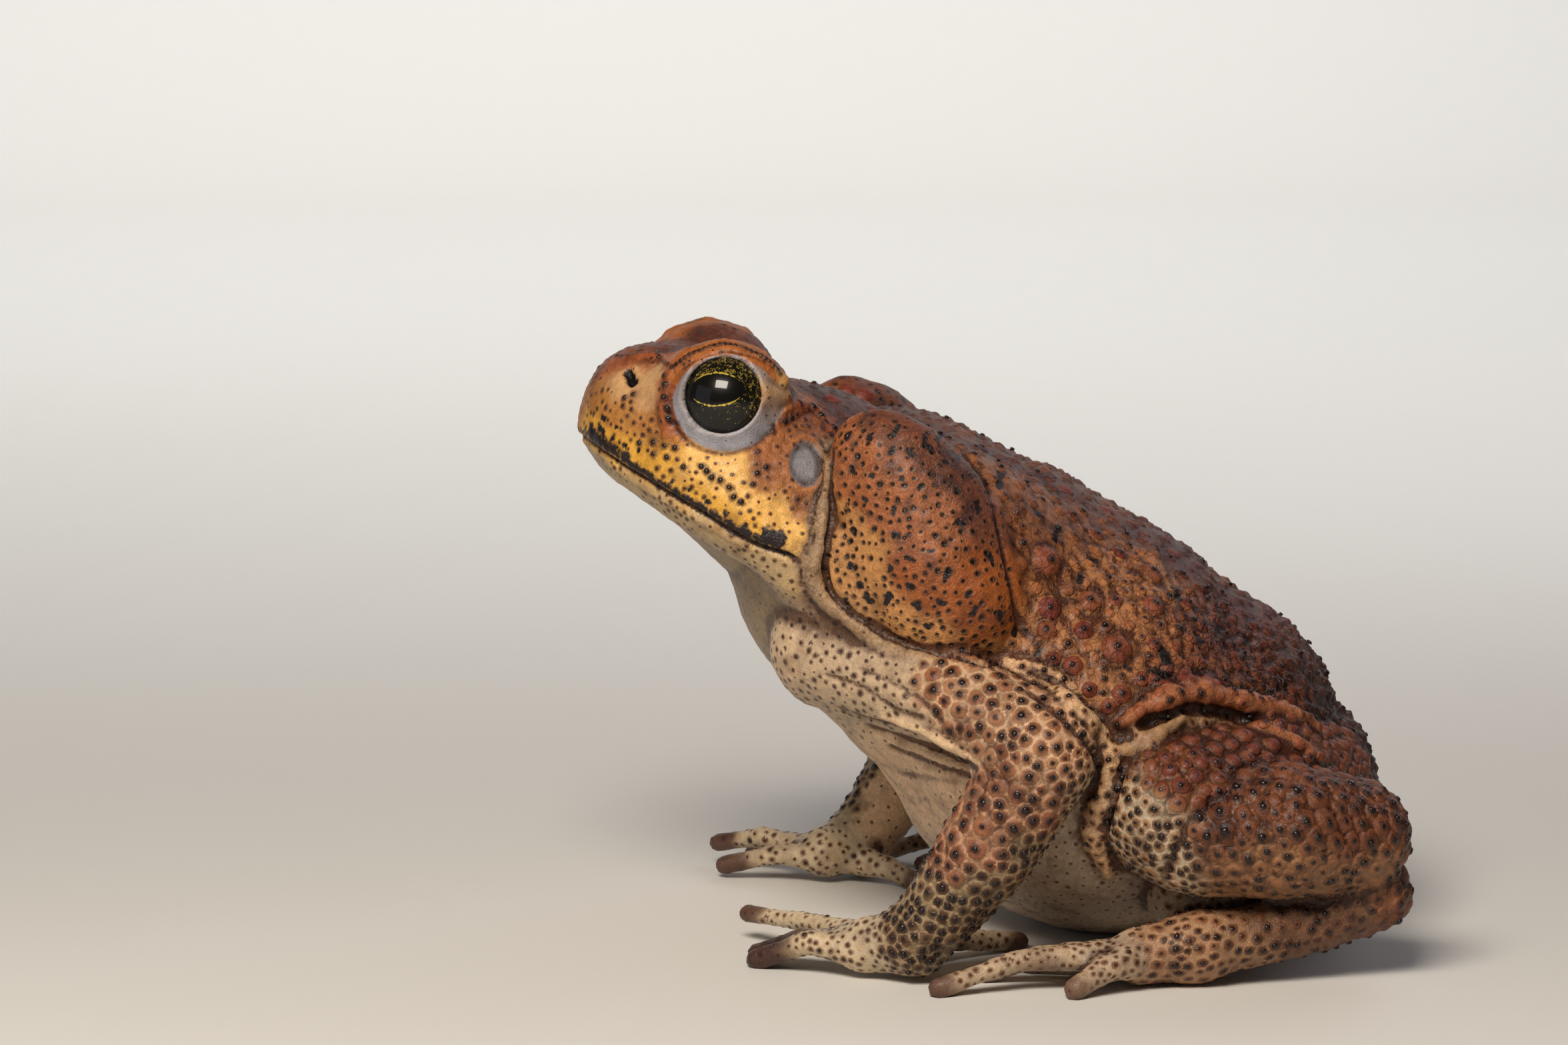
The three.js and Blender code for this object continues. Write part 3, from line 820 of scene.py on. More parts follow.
class Hide(Enum):
    """The stretches of skin."""

    CROWN = Look("572815", "622e18", "2c1813", 1.7, 0.12, 0.3, 0.5, dusk=0.3, fill=0.7)
    UPPER_LID = Look("96541f", "9c5a24", "2a1510", 1.5, 0.10, 0.26, 0.4)
    LID_PALE = Look("8f8d93", "93929a", "4b3f3c", 1.6, 0.0, 0.16, 0.12, grain=0.1)
    LID_CORNER = Look("a57a46", "a97d48", "4a3a22", 1.6, 0.03, 0.2, 0.2, grain=0.2)
    NOSTRIL = Look("b58c63", "b8905f", "5b3421", 1.8, 0.04, 0.22, 0.2, grain=0.2)
    SNOUT = Look("a16c2d", "9a6128", "3b1f17", 1.5, 0.10, 0.33, 0.8)
    RIDGE = Look("8a4824", "904c26", "2b1614", 1.8, 0.18, 0.4, 0.5, fill=0.7)
    LIP = Look("d09a34", "ca932f", "3f2015", 1.6, 0.10, 0.3, 0.75, grain=0.25)
    CHEEK = Look("e2b262", "dba556", "3f2016", 1.7, 0.10, 0.26, 0.7)
    CHEEK_REAR = Look("965c34", "91592f", "40201a", 1.7, 0.16, 0.3, 0.6)
    DRUM = Look("7e7a7e", "858184", "6f6762", 1.2, 0.02, 0.1, 0.3, grain=0.25)
    JAW = Look("a88f6a", "ac936e", "4b2d1c", 1.5, 0.06, 0.28, 0.7)
    THROAT = Look("8c7556", "907a5a", "6b4a30", 1.3, 0.06, 0.17, 0.6)
    GLAND_TOP = Look("5e3320", "643720", "23120c", 2.0, -0.22, 0.3, 0.9, dusk=0.36, grain=0.6)
    GLAND_MID = Look("8a4f2c", "8f5529", "23120c", 1.75, -0.28, 0.33, 0.95, dusk=0.27, grain=0.6)
    GLAND_FRONT = Look("ae7b47", "ab7744", "23120c", 1.6, -0.26, 0.31, 0.95, grain=0.4)
    GLAND_REAR = Look("85461a", "81451a", "23120c", 1.75, -0.28, 0.33, 0.95, grain=0.45)
    GLAND_TIP = Look("c58b42", "c98f48", "33190f", 1.8, -0.1, 0.25, 0.5)
    STRAP = Look("8c7257", "8f765c", "5a3822", 2.2, 0.04, 0.25, 0.3, crease=0.5)
    NAPE = Look("4c281d", "522c1d", "2b1716", 2.6, 0.30, 0.4, 0.5, dusk=0.26, crease=0.2, fill=0.6)
    SPINE = Look(
        "4f2418", "43190f", "241617", 3.3, 0.50, 0.42, 0.25, dusk=0.27, crease=0.4, fill=0.65
    )
    BACK_FRONT = Look("84522f", "734022", "2b1614", 3.0, 0.5, 0.4, 0.6, dusk=0.25, crease=0.55, fill=0.65)
    BACK = Look("a56d41", "88502e", "1f1215", 3.0, 0.65, 0.42, 0.6, dusk=0.1, crease=0.7, fill=0.65)
    BACK_REAR = Look("713d22", "511f13", "21140f", 2.5, 0.70, 0.45, 0.6, dusk=0.3, crease=1.1, fill=0.75)
    RUMP = Look("3a2114", "301711", "20120f", 2.6, 0.60, 0.4, 0.4, dusk=0.35, crease=0.6, fill=0.8)
    FLANK = Look("a26b40", "8c5630", "26150f", 2.3, 0.40, 0.42, 0.7, crease=0.4, fill=0.65)
    ROPE = Look("8c5434", "7d4025", "26140f", 2.8, 0.4, 0.5, 0.7, crease=0.45, fill=0.7)
    BAND = Look("c9a27d", "bd9169", "3f2318", 1.9, 0.13, 0.42, 0.85, crease=0.45)
    GROIN = Look("937556", "8f6b4b", "4b2b1c", 2.6, 0.12, 0.36, 0.6, crease=0.25)
    CHEST = Look("dcb891", "dfbd98", "63432c", 2.3, 0.05, 0.2, 0.6, crease=0.25)
    BELLY = Look("b09a84", "b5a08a", "5d3d28", 1.9, 0.14, 0.24, 0.75, crease=0.1)
    SHOULDER = Look("b59c7f", "b79e82", "3c2318", 1.75, 0.08, 0.33, 0.95, crease=0.15, grain=0.25)
    ARM = Look("bf9b79", "7c472a", "1d0e0c", 2.7, 0.52, 0.56, 1.0, fill=1.08)
    ELBOW = Look("c39b79", "84502f", "1e100d", 2.1, 0.44, 0.5, 1.0, fill=1.08)
    ELBOW_EDGE = Look("bfad8f", "8b6a45", "20130d", 1.45, 0.24, 0.42, 1.0, fill=1.08)
    FOREARM = Look("b58866", "74402a", "1a0d0e", 2.7, 0.58, 0.6, 1.0, fill=1.08)
    WRIST = Look("9a8463", "54331e", "1e100c", 2.0, 0.38, 0.56, 1.0, fill=1.08)
    HAND = Look("b9a78c", "af9677", "3f2417", 1.45, 0.1, 0.34, 0.95, grain=0.25)
    DIGIT_DARK = Look("3f2921", "3c2620", "2a1713", 1.6, 0.10, 0.3, 0.5)
    DIGIT_TIP = Look("523a30", "4e362c", "33231c", 1.6, 0.04, 0.2, 0.3, grain=0.25)
    KNEE = Look("b4a288", "976d48", "21130d", 1.9, 0.34, 0.52, 1.0, fill=1.08)
    THIGH = Look("7d4c2e", "5c291d", "3a1f20", 2.9, 0.85, 0.42, 0.7, dusk=0.2)
    SHANK = Look(
        "7a482b", "5e331f", "150b0c", 2.8, 0.7, 0.62, 0.95, dusk=0.1, lean=(0.3, 0, -0.66),
        fill=1.08
    )
    SHANK_LOW = Look(
        "8e6442", "825637", "25130d", 2.5, 0.42, 0.52, 0.95, lean=(0.5, 0, -0.4), fill=0.9
    )
    TARSUS = Look("6f4c34", "5f3a25", "331c14", 2.2, 0.30, 0.42, 0.9, crease=0.3, fill=0.8)
    INSTEP = Look(
        "9f7a5a", "7d5236", "33190f", 2.0, 0.26, 0.45, 0.95, lean=(0.6, 0, 0.1), fill=0.9
    )
    FOOT = Look("a8947e", "9c8269", "4b2b1b", 1.4, 0.1, 0.34, 0.9, grain=0.25)

    def column(self) -> int:
        """Its column in a coat's weights."""
        return list(Hide).index(self)


# Forms that the paint tells apart, and the stretches found on each

PARTS: dict[str, Form] = {
    "head": Group(((SKULL, 1), (JAW, 1))),
    "trunk": TRUNK,
    "gland": GLAND,
    "arm": UPPER_ARM,
    "forearm": FOREARM,
    "hand": Group(((HAND_LEFT, 1), (HAND_RIGHT, 1))),
    "thigh": THIGH,
    "shank": SHANK,
    "tarsus": TARSUS,
    "foot": FOOT,
}
SITES: dict[str, dict[Hide, tuple[Site, ...]]] = {
    "head": {
        Hide.CROWN: (
            (-62, 0, 89), (-59, 4, 93), (-55, 6, 95), (-50, 0, 97), (-43, 3, 97), (-36, 0, 95), (-45, 9, 98),
            (-30, 6, 92), (-33, 14, 90), (-38, 10, 96), (-36.5, 13, 94), (-34.5, 17, 91), (-39, 5, 97),
            (-33, 19, 89),
        ),
        Hide.UPPER_LID: ((-46, 15, 97), (-40, 16, 96), (-52, 14, 96)),
        Hide.NOSTRIL: ((946, 563), (975, 580), (982, 560), (928, 582), (968, 600)),
        Hide.SNOUT: ((905, 600), (912, 625), (940, 612), (960, 625), (975, 640), (985, 660), (-63.5, 0, 86)),
        Hide.RIDGE: ((1004, 575), (999, 600), (999, 630), (1003, 652), (930, 540), (960, 536), (990, 540)),
        Hide.LIP: (
            (895, 650), (905, 662), (925, 668), (945, 690), (965, 690), (990, 705), (1010, 735), (1040, 745),
            (1070, 765), (1100, 785), (1130, 795), (1150, 790), (1000, 680),
        ),
        Hide.CHEEK: (
            (1040, 700), (1065, 705), (1095, 705), (1110, 735), (1130, 760), (1165, 765), (1190, 790),
            (1170, 800), (1205, 800), (1205, 840),
        ),
        Hide.CHEEK_REAR: (
            (1150, 690), (1165, 720), (1140, 725), (1160, 660), (1185, 655), (1175, 745), (1205, 755),
            (1200, 640), (1225, 740), (1205, 603),
        ),
        Hide.LID_CORNER: ((1182, 585),),
        Hide.JAW: (
            (920, 715), (960, 742), (1010, 772), (1060, 802), (1110, 828), (1150, 850), (-61, 0, 77),
            (905, 692), (942, 714), (990, 744), (1040, 773), (1095, 804), (1150, 831), (1185, 850),
        ),
        Hide.THROAT: ((-50, 0, 65), (-40, 0, 60), (-40, 15, 60), (-50, 10, 66), (1110, 855), (1040, 808)),
        Hide.STRAP: ((1243, 690), (1240, 760), (1232, 820)),
        Hide.GLAND_FRONT: ((1258, 780), (1262, 800), (1264, 825), (1266, 850), (1272, 880)),
    },
    "trunk": {
        Hide.THROAT: ((-36, 0, 55), (-30, 12, 52), (1150, 900)),
        Hide.SHOULDER: ((1190, 960), (1200, 990), (1240, 1010), (1290, 1060), (-28, 0, 45), (-25, 12, 40)),
        Hide.CHEST: (
            (1330, 1110), (1370, 1130), (1420, 1150), (1370, 1180), (1350, 1150), (-15, 10, 25), (-20, 0, 35),
            (-10, 25, 30),
        ),
        Hide.BELLY: (
            (1560, 1250), (1600, 1300), (1580, 1350), (-8, 0, 12), (0, 0, 1), (20, 0, 0), (20, 20, 2),
            (0, 25, 6), (-12, 12, 12), (5, 35, 15), (40, 10, 8), (45, 0, 6),
        ),
        Hide.STRAP: ((1262, 921), (1305, 954), (1360, 980)),
        Hide.GLAND_FRONT: (
            (1258, 780), (1264, 825), (1270, 865), (1290, 900), (1310, 930), (1350, 955), (1400, 970),
        ),
        Hide.NAPE: (
            (1218, 572), (1230, 580), (1250, 585), (1300, 592), (1350, 612), (1400, 645), (-24, 0, 89),
            (-28, 8, 88), (-18, 10, 85),
        ),
        Hide.SPINE: (
            (1470, 672), (1550, 712), (1610, 738), (1700, 790), (1780, 840), (1850, 900), (-5, 0, 78),
            (10, 0, 70), (25, 0, 58), (38, 0, 42),
        ),
        Hide.BACK_FRONT: (
            (-8, 6, 80), (6, 4, 73), (16, 7, 66), (30, 3, 55), (1470, 700), (1500, 740), (1530, 790),
            (1560, 740), (1580, 790), (1640, 800), (1530, 850),
        ),
        Hide.BACK: (
            (1560, 880), (1600, 900), (1650, 930), (1700, 900), (1600, 960), (1640, 990), (1700, 960),
            (1720, 880), (1680, 850), (1740, 940), (1640, 860),
        ),
        Hide.BACK_REAR: (
            (1780, 930), (1830, 980), (1790, 990), (1870, 1000), (1900, 1040), (1950, 1060), (1740, 1010),
            (1840, 930), (42, 9, 42), (46, 4, 34), (44, 16, 36),
        ),
        Hide.RUMP: (
            (2000, 1080), (2030, 1130), (1960, 1020), (48, 0, 28), (55, 0, 18), (50, 15, 25), (52, 10, 14),
            (46, 20, 16), (50, 5, 10), (44, 26, 22),
        ),
        Hide.FLANK: ((1570, 990), (1610, 1020), (1650, 1050), (1690, 1040), (1630, 1040)),
        Hide.GROIN: ((1700, 1105), (1740, 1085), (1850, 1075), (1930, 1095), (30, 35, 36), (18, 38, 36)),
    },
    "gland": {
        Hide.GLAND_TOP: (
            (1290, 615), (1340, 640), (1390, 670), (1430, 710), (1460, 740), (1250, 610), (1470, 790),
        ),
        Hide.GLAND_MID: (
            (1290, 680), (1330, 720), (1380, 760), (1270, 710), (1420, 790), (1340, 790), (1390, 830),
            (1310, 750),
        ),
        Hide.GLAND_FRONT: (
            (1262, 790), (1275, 830), (1265, 870), (1300, 880), (1300, 830), (1320, 920), (1370, 945),
            (1420, 970), (1480, 985),
        ),
        Hide.GLAND_REAR: (
            (1440, 850), (1480, 860), (1500, 900), (1460, 920), (1400, 890), (1510, 940), (1470, 960),
            (1360, 860),
        ),
        Hide.GLAND_TIP: ((1540, 968), (1552, 975)),
    },
    "arm": {
        Hide.SHOULDER: (
            (1200, 1000), (1250, 1000), (1300, 1020), (1270, 1050), (1340, 1050), (1320, 1010), (1370, 1080),
            (-20, 15, 45), (-10, 30, 36),
        ),
        Hide.ARM: (
            (1430, 1020), (1480, 1040), (1530, 1060), (1470, 1080), (1520, 1110), (1440, 1070), (1400, 1040),
        ),
        Hide.ELBOW: ((1570, 1090), (1590, 1120)),
    },
    "forearm": {
        Hide.ELBOW: ((1570, 1130), (1600, 1140), (1610, 1170), (1570, 1170), (1530, 1150)),
        Hide.ELBOW_EDGE: ((1627, 1180), (1620, 1220), (1600, 1240), (1570, 1270), (5, 40, 28)),
        Hide.FOREARM: (
            (1500, 1180), (1480, 1230), (1520, 1210), (1450, 1260), (1430, 1290), (1490, 1280), (1550, 1210),
        ),
        Hide.WRIST: (
            (1370, 1340), (1400, 1360), (1440, 1350), (1480, 1320), (1520, 1290), (1360, 1380), (-12, 46, 14),
        ),
        Hide.CHEST: ((-5, 37, 24), (-12, 36, 14)),
    },
    "hand": {
        Hide.WRIST: ((1350, 1400), (1390, 1410), (1420, 1400)),
        Hide.HAND: (
            (1200, 1372), (1240, 1380), (1280, 1390), (1300, 1410), (-28, 31, 6), (-8, 24, 3), (-26, 36, 9),
            (-33, 33, 5), (-36, 16, 5), (-30, 24, 6), (-4, 21, 2), (-36, 41, 5), (-33, 48, 3.5), (-14, 30, 3),
        ),
        Hide.DIGIT_DARK: ((-36, 28, 4), (-40, 25, 2.5), (-41.5, 23.5, 1.2), (-42, 28, 1.2)),
        Hide.DIGIT_TIP: (
            (-42, 9, 4), (1, 19, 1), (-42, 39, 2.2), (-42.4, 49, 4), (-36, 53, 1.4), (-11, 27, 1.3),
        ),
    },
    "thigh": {
        Hide.THIGH: (
            (1790, 1150), (1840, 1130), (1900, 1140), (1760, 1170), (1950, 1160), (40, 25, 38), (48, 18, 22),
            (46, 26, 22), (50, 12, 18), (44, 24, 14),
        ),
        Hide.KNEE: (
            (1690, 1220), (1680, 1280), (1720, 1300), (1760, 1300), (1730, 1230), (1710, 1330), (22, 45, 18),
        ),
        Hide.BELLY: ((36, 15, 7), (30, 25, 12), (1720, 1360)),
    },
    "shank": {
        Hide.KNEE: ((1760, 1310), (1780, 1330), (18, 46, 18)),
        Hide.SHANK: (
            (1850, 1200), (1900, 1190), (1950, 1200), (2000, 1210), (2050, 1220), (2090, 1230), (1880, 1230),
            (1960, 1240), (2030, 1260), (1840, 1240),
        ),
        Hide.SHANK_LOW: ((1830, 1320), (1880, 1310), (1940, 1310), (1990, 1310), (2050, 1300), (1900, 1280)),
        Hide.BELLY: ((38, 40, 14), (30, 36, 20)),
    },
    "tarsus": {
        Hide.TARSUS: ((2080, 1340), (2040, 1360), (1990, 1380), (1940, 1400), (1890, 1400), (1850, 1420)),
        Hide.SHANK: ((2090, 1345), (56, 43, 12)),
        Hide.INSTEP: ((1830, 1405), (1800, 1410), (1780, 1430), (1850, 1425), (1880, 1420)),
    },
    "foot": {
        Hide.FOOT: (
            (1700, 1440), (1690, 1420), (1650, 1415), (1615, 1414), (10, 45, 5), (12, 42, 5), (0, 39, 4),
            (-5.5, 41.4, 2.2), (-12, 49, 2.6), (2.5, 36.5, 2.2), (8.3, 34, 2), (6, 52, 2),
        ),
        Hide.INSTEP: ((1760, 1415), (1740, 1440), (1780, 1430), (1730, 1415)),
        Hide.DIGIT_TIP: ((-8, 41, 1.2), (-16, 50, 1.2), (4.6, 53, 1.3), (7, 33, 1.2), (0, 35.5, 1.2)),
    },
}


@dataclass(frozen=True)
class Rope:
    """A fold of skin that stands out like a rope along a path."""

    path: tuple[Site, ...]
    radius: float
    rise: float
    hide: Hide
    soft: float = 0.9


ROPES = (
    Rope((
        (1240, 671), (1244, 716), (1236, 771), (1229, 824), (1218, 856), (1230, 890), (1263, 921),
        (1305, 954), (1347, 977), (1402, 990),
    ), 1.4, -0.25, Hide.STRAP, 1.0),
    Rope((
        (1682, 1085), (1711, 1066), (1743, 1051), (1779, 1041), (1811, 1044), (1857, 1056), (1900, 1068),
        (1950, 1085), (1980, 1103),
    ), 1.85, 0.75, Hide.ROPE, 1.3),
    Rope((
        (1512, 1000), (1554, 1024), (1593, 1053), (1629, 1085), (1654, 1116), (1664, 1145), (1659, 1181),
        (1648, 1212), (1640, 1245), (1650, 1278), (1662, 1310),
    ), 1.55, 0.55, Hide.BAND, 1.5),
    Rope(((1510, 992), (1550, 1000), (1590, 1018), (1612, 1038)), 1.0, 0.4, Hide.BAND),
    Rope(((1671, 1124), (1700, 1122), (1729, 1105), (1756, 1085), (1775, 1074)), 1.45, 0.5, Hide.GROIN, 1.3),
    Rope(((1700, 1092), (1712, 1110), (1722, 1122)), 1.0, 0.4, Hide.GROIN, 1.3),
    Rope(((1880, 1088), (1915, 1100), (1950, 1118), (1985, 1142)), 1.3, 0.3, Hide.ROPE, 1.3),
    Rope(((1326, 1075), (1370, 1091), (1417, 1113), (1448, 1131), (1468, 1146)), 1.1, -0.1, Hide.CHEST),
    Rope(((1345, 1113), (1386, 1127), (1426, 1147), (1458, 1157)), 0.9, -0.15, Hide.CHEST),
    Rope(((937, 538), (960, 535), (985, 535), (1000, 540), (1007, 555)), 0.75, -0.25, Hide.RIDGE),
    Rope(((1005, 560), (999, 585), (996, 610), (998, 635), (1004, 655)), 0.8, -0.3, Hide.RIDGE),
    Rope((
        (1166, 632), (1178, 617), (1195, 608), (1215, 610), (1232, 622), (1245, 640),
    ), 0.95, -0.25, Hide.RIDGE),
)


@dataclass(frozen=True)
class Stroke:
    """A line raised above the skin or sunk in it, with dark paint along it, which marks the skin on some
    lines and is painted shade in the creases.
    """

    path: tuple[Site, ...]
    width: float
    height: float
    ink: float = 0.0


STROKES = (
    # The mouth, with painted shade inked into its gap, the black edge of the upper lip and the black patch
    # near its corner
    Stroke((
        (889, 667), (930, 695), (980, 727), (1030, 757), (1080, 787), (1130, 815), (1180, 832), (1196, 843),
    ), 0.42, -1.3, 0.75),
    Stroke((
        (890, 655), (930, 683), (980, 716), (1030, 746), (1080, 776), (1130, 804), (1170, 817),
    ), 1.0, 0.35, 0.77),
    Stroke(((1142, 800), (1160, 805), (1180, 815)), 1.7, 0.55, 0.85),
    Stroke(((-67.9, 0, 80.9), (-67.6, 2.2, 80.8), (-67.1, 4.6, 80.6), (-66.2, 7.2, 80.1)), 0.42, -1.3, 0.75),
    Stroke(((-68.1, 0, 82.2), (-67.8, 2.3, 82.1), (-67.2, 4.8, 82.0), (-66.2, 7.9, 81.6)), 0.9, 0.2, 0.66),
    Stroke(((884, 640), (892, 656), (908, 668)), 1.9, 0.1, 0.9),
    Stroke(((900, 662), (925, 674), (950, 692)), 1.35, 0.1, 0.7),
    Stroke(((905, 690), (960, 728), (1020, 765), (1080, 800), (1140, 830)), 0.35, 0.3, 0.3),
    # The crease behind the strap and under the gland, and the gland's rear edge, with painted shade inked
    # along them
    Stroke((
        (1248, 680), (1244, 750), (1240, 806), (1238, 850), (1250, 893), (1291, 930), (1352, 962),
        (1430, 986), (1485, 1001), (1530, 992),
    ), 0.42, -1.3, 0.5),
    Stroke(((1236, 690), (1232, 760), (1226, 820)), 0.25, -0.3, 0.2),
    Stroke(((1240, 685), (1238, 760), (1233, 815)), 0.25, -0.3, 0.2),
    Stroke(((1440, 672), (1478, 722), (1500, 790), (1517, 860), (1530, 930), (1545, 955)), 0.8, -1.0, 0.3),
    # Creases of the chest that meet at the elbow, and the line under the flank's rope, inked as a painted
    # shadow
    Stroke(((1300, 1088), (1350, 1102), (1400, 1122), (1440, 1140), (1468, 1152)), 0.8, -0.75),
    Stroke(((1310, 1104), (1360, 1120), (1410, 1138), (1462, 1157)), 0.9, 0.35),
    Stroke(((1330, 1118), (1380, 1137), (1420, 1152), (1460, 1164)), 0.8, -0.6),
    Stroke(((1345, 1160), (1390, 1168), (1440, 1176)), 0.8, -0.3),
    Stroke(((1230, 1010), (1290, 1030), (1340, 1062), (1390, 1080)), 0.6, -0.45),
    Stroke(((1280, 1000), (1330, 1020), (1380, 1050), (1420, 1090)), 0.6, -0.4),
    Stroke(((1250, 1060), (1300, 1078), (1350, 1092), (1400, 1108)), 0.6, -0.5),
    Stroke((
        (1700, 1095), (1750, 1073), (1800, 1062), (1850, 1074), (1920, 1092), (1975, 1116),
    ), 0.8, -1.3, 0.3),
    # The furrow between knee and shank, and the fold over the heel, with a little painted shade inked along
    # it
    Stroke(((1850, 1188), (1815, 1205), (1788, 1232), (1765, 1270), (1745, 1320)), 0.9, -0.9, 0.12),
    # The nostril, a fold of the upper lid, and creases either side of the armpit's band, each inked with
    # painted shade
    Stroke(((937, 553), (943, 562), (945, 570), (954, 572)), 0.85, -1.6, 1.3),
    Stroke(((1020, 556), (1045, 540), (1090, 529), (1135, 537), (1165, 556)), 0.3, -0.3, 0.1),
    Stroke((
        (1540, 1035), (1580, 1066), (1615, 1098), (1640, 1130), (1646, 1170), (1637, 1205),
    ), 0.8, -1.0, 0.08),
    Stroke(((1545, 1000), (1590, 1030), (1630, 1062), (1668, 1095), (1682, 1120)), 0.6, -0.7, 0.08),
    Stroke(((1680, 1140), (1678, 1180), (1668, 1215), (1660, 1245)), 0.7, -1.0, 0.15),
)


def blotches(sites: Iterable[Pixel], width: float, reach: float, seed: int) -> tuple[Stroke, ...]:
    """Short dark strokes at given pixels, each of its own length and slant.

    Args:
        sites: Their middles.
        width: Half their width in millimetres.
        reach: Half their length in pixels.
        seed: Of the draws.

    Returns:
        The strokes.
    """
    draw = np.random.default_rng(seed)
    made = []
    for x, y in sites:
        slant, half = draw.uniform(0.2, 2.2), reach * draw.uniform(0.3, 1.0)
        step = (half * math.cos(slant), half * math.sin(slant))
        path = ((x - step[0], y - step[1]), (x, y), (x + step[0], y + step[1]))
        made.append(Stroke(path, width * draw.uniform(0.75, 1.2), -0.12, draw.uniform(0.85, 1.25)))
    return tuple(made)


BLOTCHES = (
    # Of the gland
    *blotches((
        (1272, 654), (1304, 657), (1338, 677), (1366, 678), (1344, 646), (1388, 663), (1397, 672),
        (1419, 691), (1408, 657), (1438, 685), (1277, 704), (1308, 713), (1352, 718), (1380, 731),
        (1434, 736), (1467, 759), (1298, 749), (1269, 763), (1340, 766), (1440, 785), (1344, 802),
        (1280, 797), (1363, 802), (1397, 827), (1487, 835), (1254, 841), (1274, 849), (1363, 838),
        (1422, 860), (1362, 879), (1291, 877), (1336, 854), (1511, 866), (1452, 893), (1413, 904),
        (1374, 910), (1331, 899), (1301, 899), (1269, 899), (1462, 916), (1499, 924), (1391, 941),
        (1523, 949), (1557, 977),
    ), 0.55, 10.5, 4),
    # Of the snout and the upper lip
    *blotches((
        (903, 645), (920, 657), (938, 668), (958, 676), (905, 628), (925, 640), (1010, 722), (1035, 735),
        (1062, 752), (1088, 770), (1118, 788),
    ), 0.5, 7, 8),
    # Of the back, dark with dusk
    *blotches((
        (1585, 800), (1640, 840), (1740, 1010), (1748, 985), (1800, 960), (1556, 770), (1500, 720),
        (1690, 1000), (1870, 960), (1620, 870), (1765, 890),
    ), 0.8, 16, 5),
)


@dataclass(frozen=True)
class Warts:
    """Warts of one kind, one at each site, or in a row along them where spacing is over 0."""

    path: tuple[Site, ...]
    size: float
    height: float
    tip: float
    spacing: float = 0.0


WARTS = (
    # Beads round the eye and along the crests
    Warts((
        (1009, 552), (1035, 532), (1075, 517), (1098, 517), (1122, 524), (1146, 536), (1165, 551),
        (1172, 566),
    ), 0.42, 0.16, 0.36, 0.85),
    Warts(((935, 536), (960, 533), (985, 534), (1004, 548)), 0.45, 0.2, 0.36, 1.0),
    Warts(((1000, 578), (998, 597), (1001, 612), (1003, 628)), 0.8, 0.4, 0.5),
    Warts((
        (1159, 646), (1176, 632), (1186, 626), (1217, 612), (1232, 625), (1250, 642), (1272, 655),
    ), 0.85, 0.35, 0.55),
    # The black beads of the cheek
    Warts((
        (1052, 700), (1060, 707), (1068, 717), (1081, 721), (1094, 732), (1101, 746), (1111, 753),
    ), 0.7, 0.28, 0.5),
    Warts((
        (1129, 727), (1136, 710), (1149, 701), (959, 665), (980, 664), (980, 681), (1000, 686), (997, 669),
        (1012, 672), (1025, 701), (937, 597), (950, 592),
    ), 0.7, 0.16, 0.45),
    # The large warts of back and flank
    Warts(((1570, 842), (1675, 974)), 2.9, 1.5, 0.5),
    Warts(((1634, 903), (1727, 860), (1730, 910), (1573, 914), (1779, 1024), (1814, 1042)), 2.25, 1.15, 0.45),
    Warts(((1570, 946), (1625, 946), (1609, 999), (1682, 1042), (1834, 1021), (1823, 930)), 1.8, 0.9, 0.42),
    Warts((
        (1673, 901), (1645, 803), (1679, 831), (1782, 905), (1657, 939), (1732, 967), (1836, 910),
        (1634, 1035), (1662, 1060), (1580, 989), (1712, 1019), (1734, 1021), (1609, 774), (1754, 1046),
    ), 1.4, 0.7, 0.42),
    Warts((
        (1270, 588), (1297, 593), (1310, 615), (1249, 599), (1600, 735), (1660, 765), (1760, 830),
    ), 1.5, 0.5, 0.0),
)


def noise_at(points: Array, sizes: Point, seed: float = 0.0) -> Array:
    """Smooth noise from about -0.6 to 0.6.

    Args:
        points: Rows of x, y and z.
        sizes: Size of the pattern along each axis.
        seed: Shifts the pattern.

    Returns:
        A value for each point.
    """
    scaled = points / np.array(sizes) + seed
    return np.array([noise.noise(row) for row in scaled.tolist()])


def unfolded(places: Array) -> Array:
    """Places of both sides from places in x, w and z.

    Args:
        places: Rows of x, w and z.

    Returns:
        Rows of x, y and z, the left side first.
    """
    return np.concatenate([places * [1, -1, 1], places[places[:, 1] > 1.0]])


def tree_of(points: Array) -> kdtree.KDTree:
    """Some points, ready to be searched.

    Args:
        points: Rows of x, y and z.

    Returns:
        A tree that finds them by row number.
    """
    tree = kdtree.KDTree(len(points))
    for number, place in enumerate(points.tolist()):
        tree.insert(place, number)
    tree.balance()
    return tree


def eye_distance(points: Array) -> Array:
    """How far points are from the middle of the nearer eye."""
    return np.linalg.norm(folded_rows(points) - EYE_CENTRE, axis=1)


@dataclass
class Coat:
    """What covers the skin at some points: the weight of each stretch, and its figures."""

    weights: Array

    def value(self, name: str) -> Array:
        """One figure of the looks, blended at every point."""
        return self.weights @ np.array([getattr(hide.value, name) for hide in Hide], float)

    def colour(self, name: str) -> Array:
        """One colour of the looks, blended at every point."""
        return self.weights @ np.array([linear(getattr(hide.value, name)) for hide in Hide])


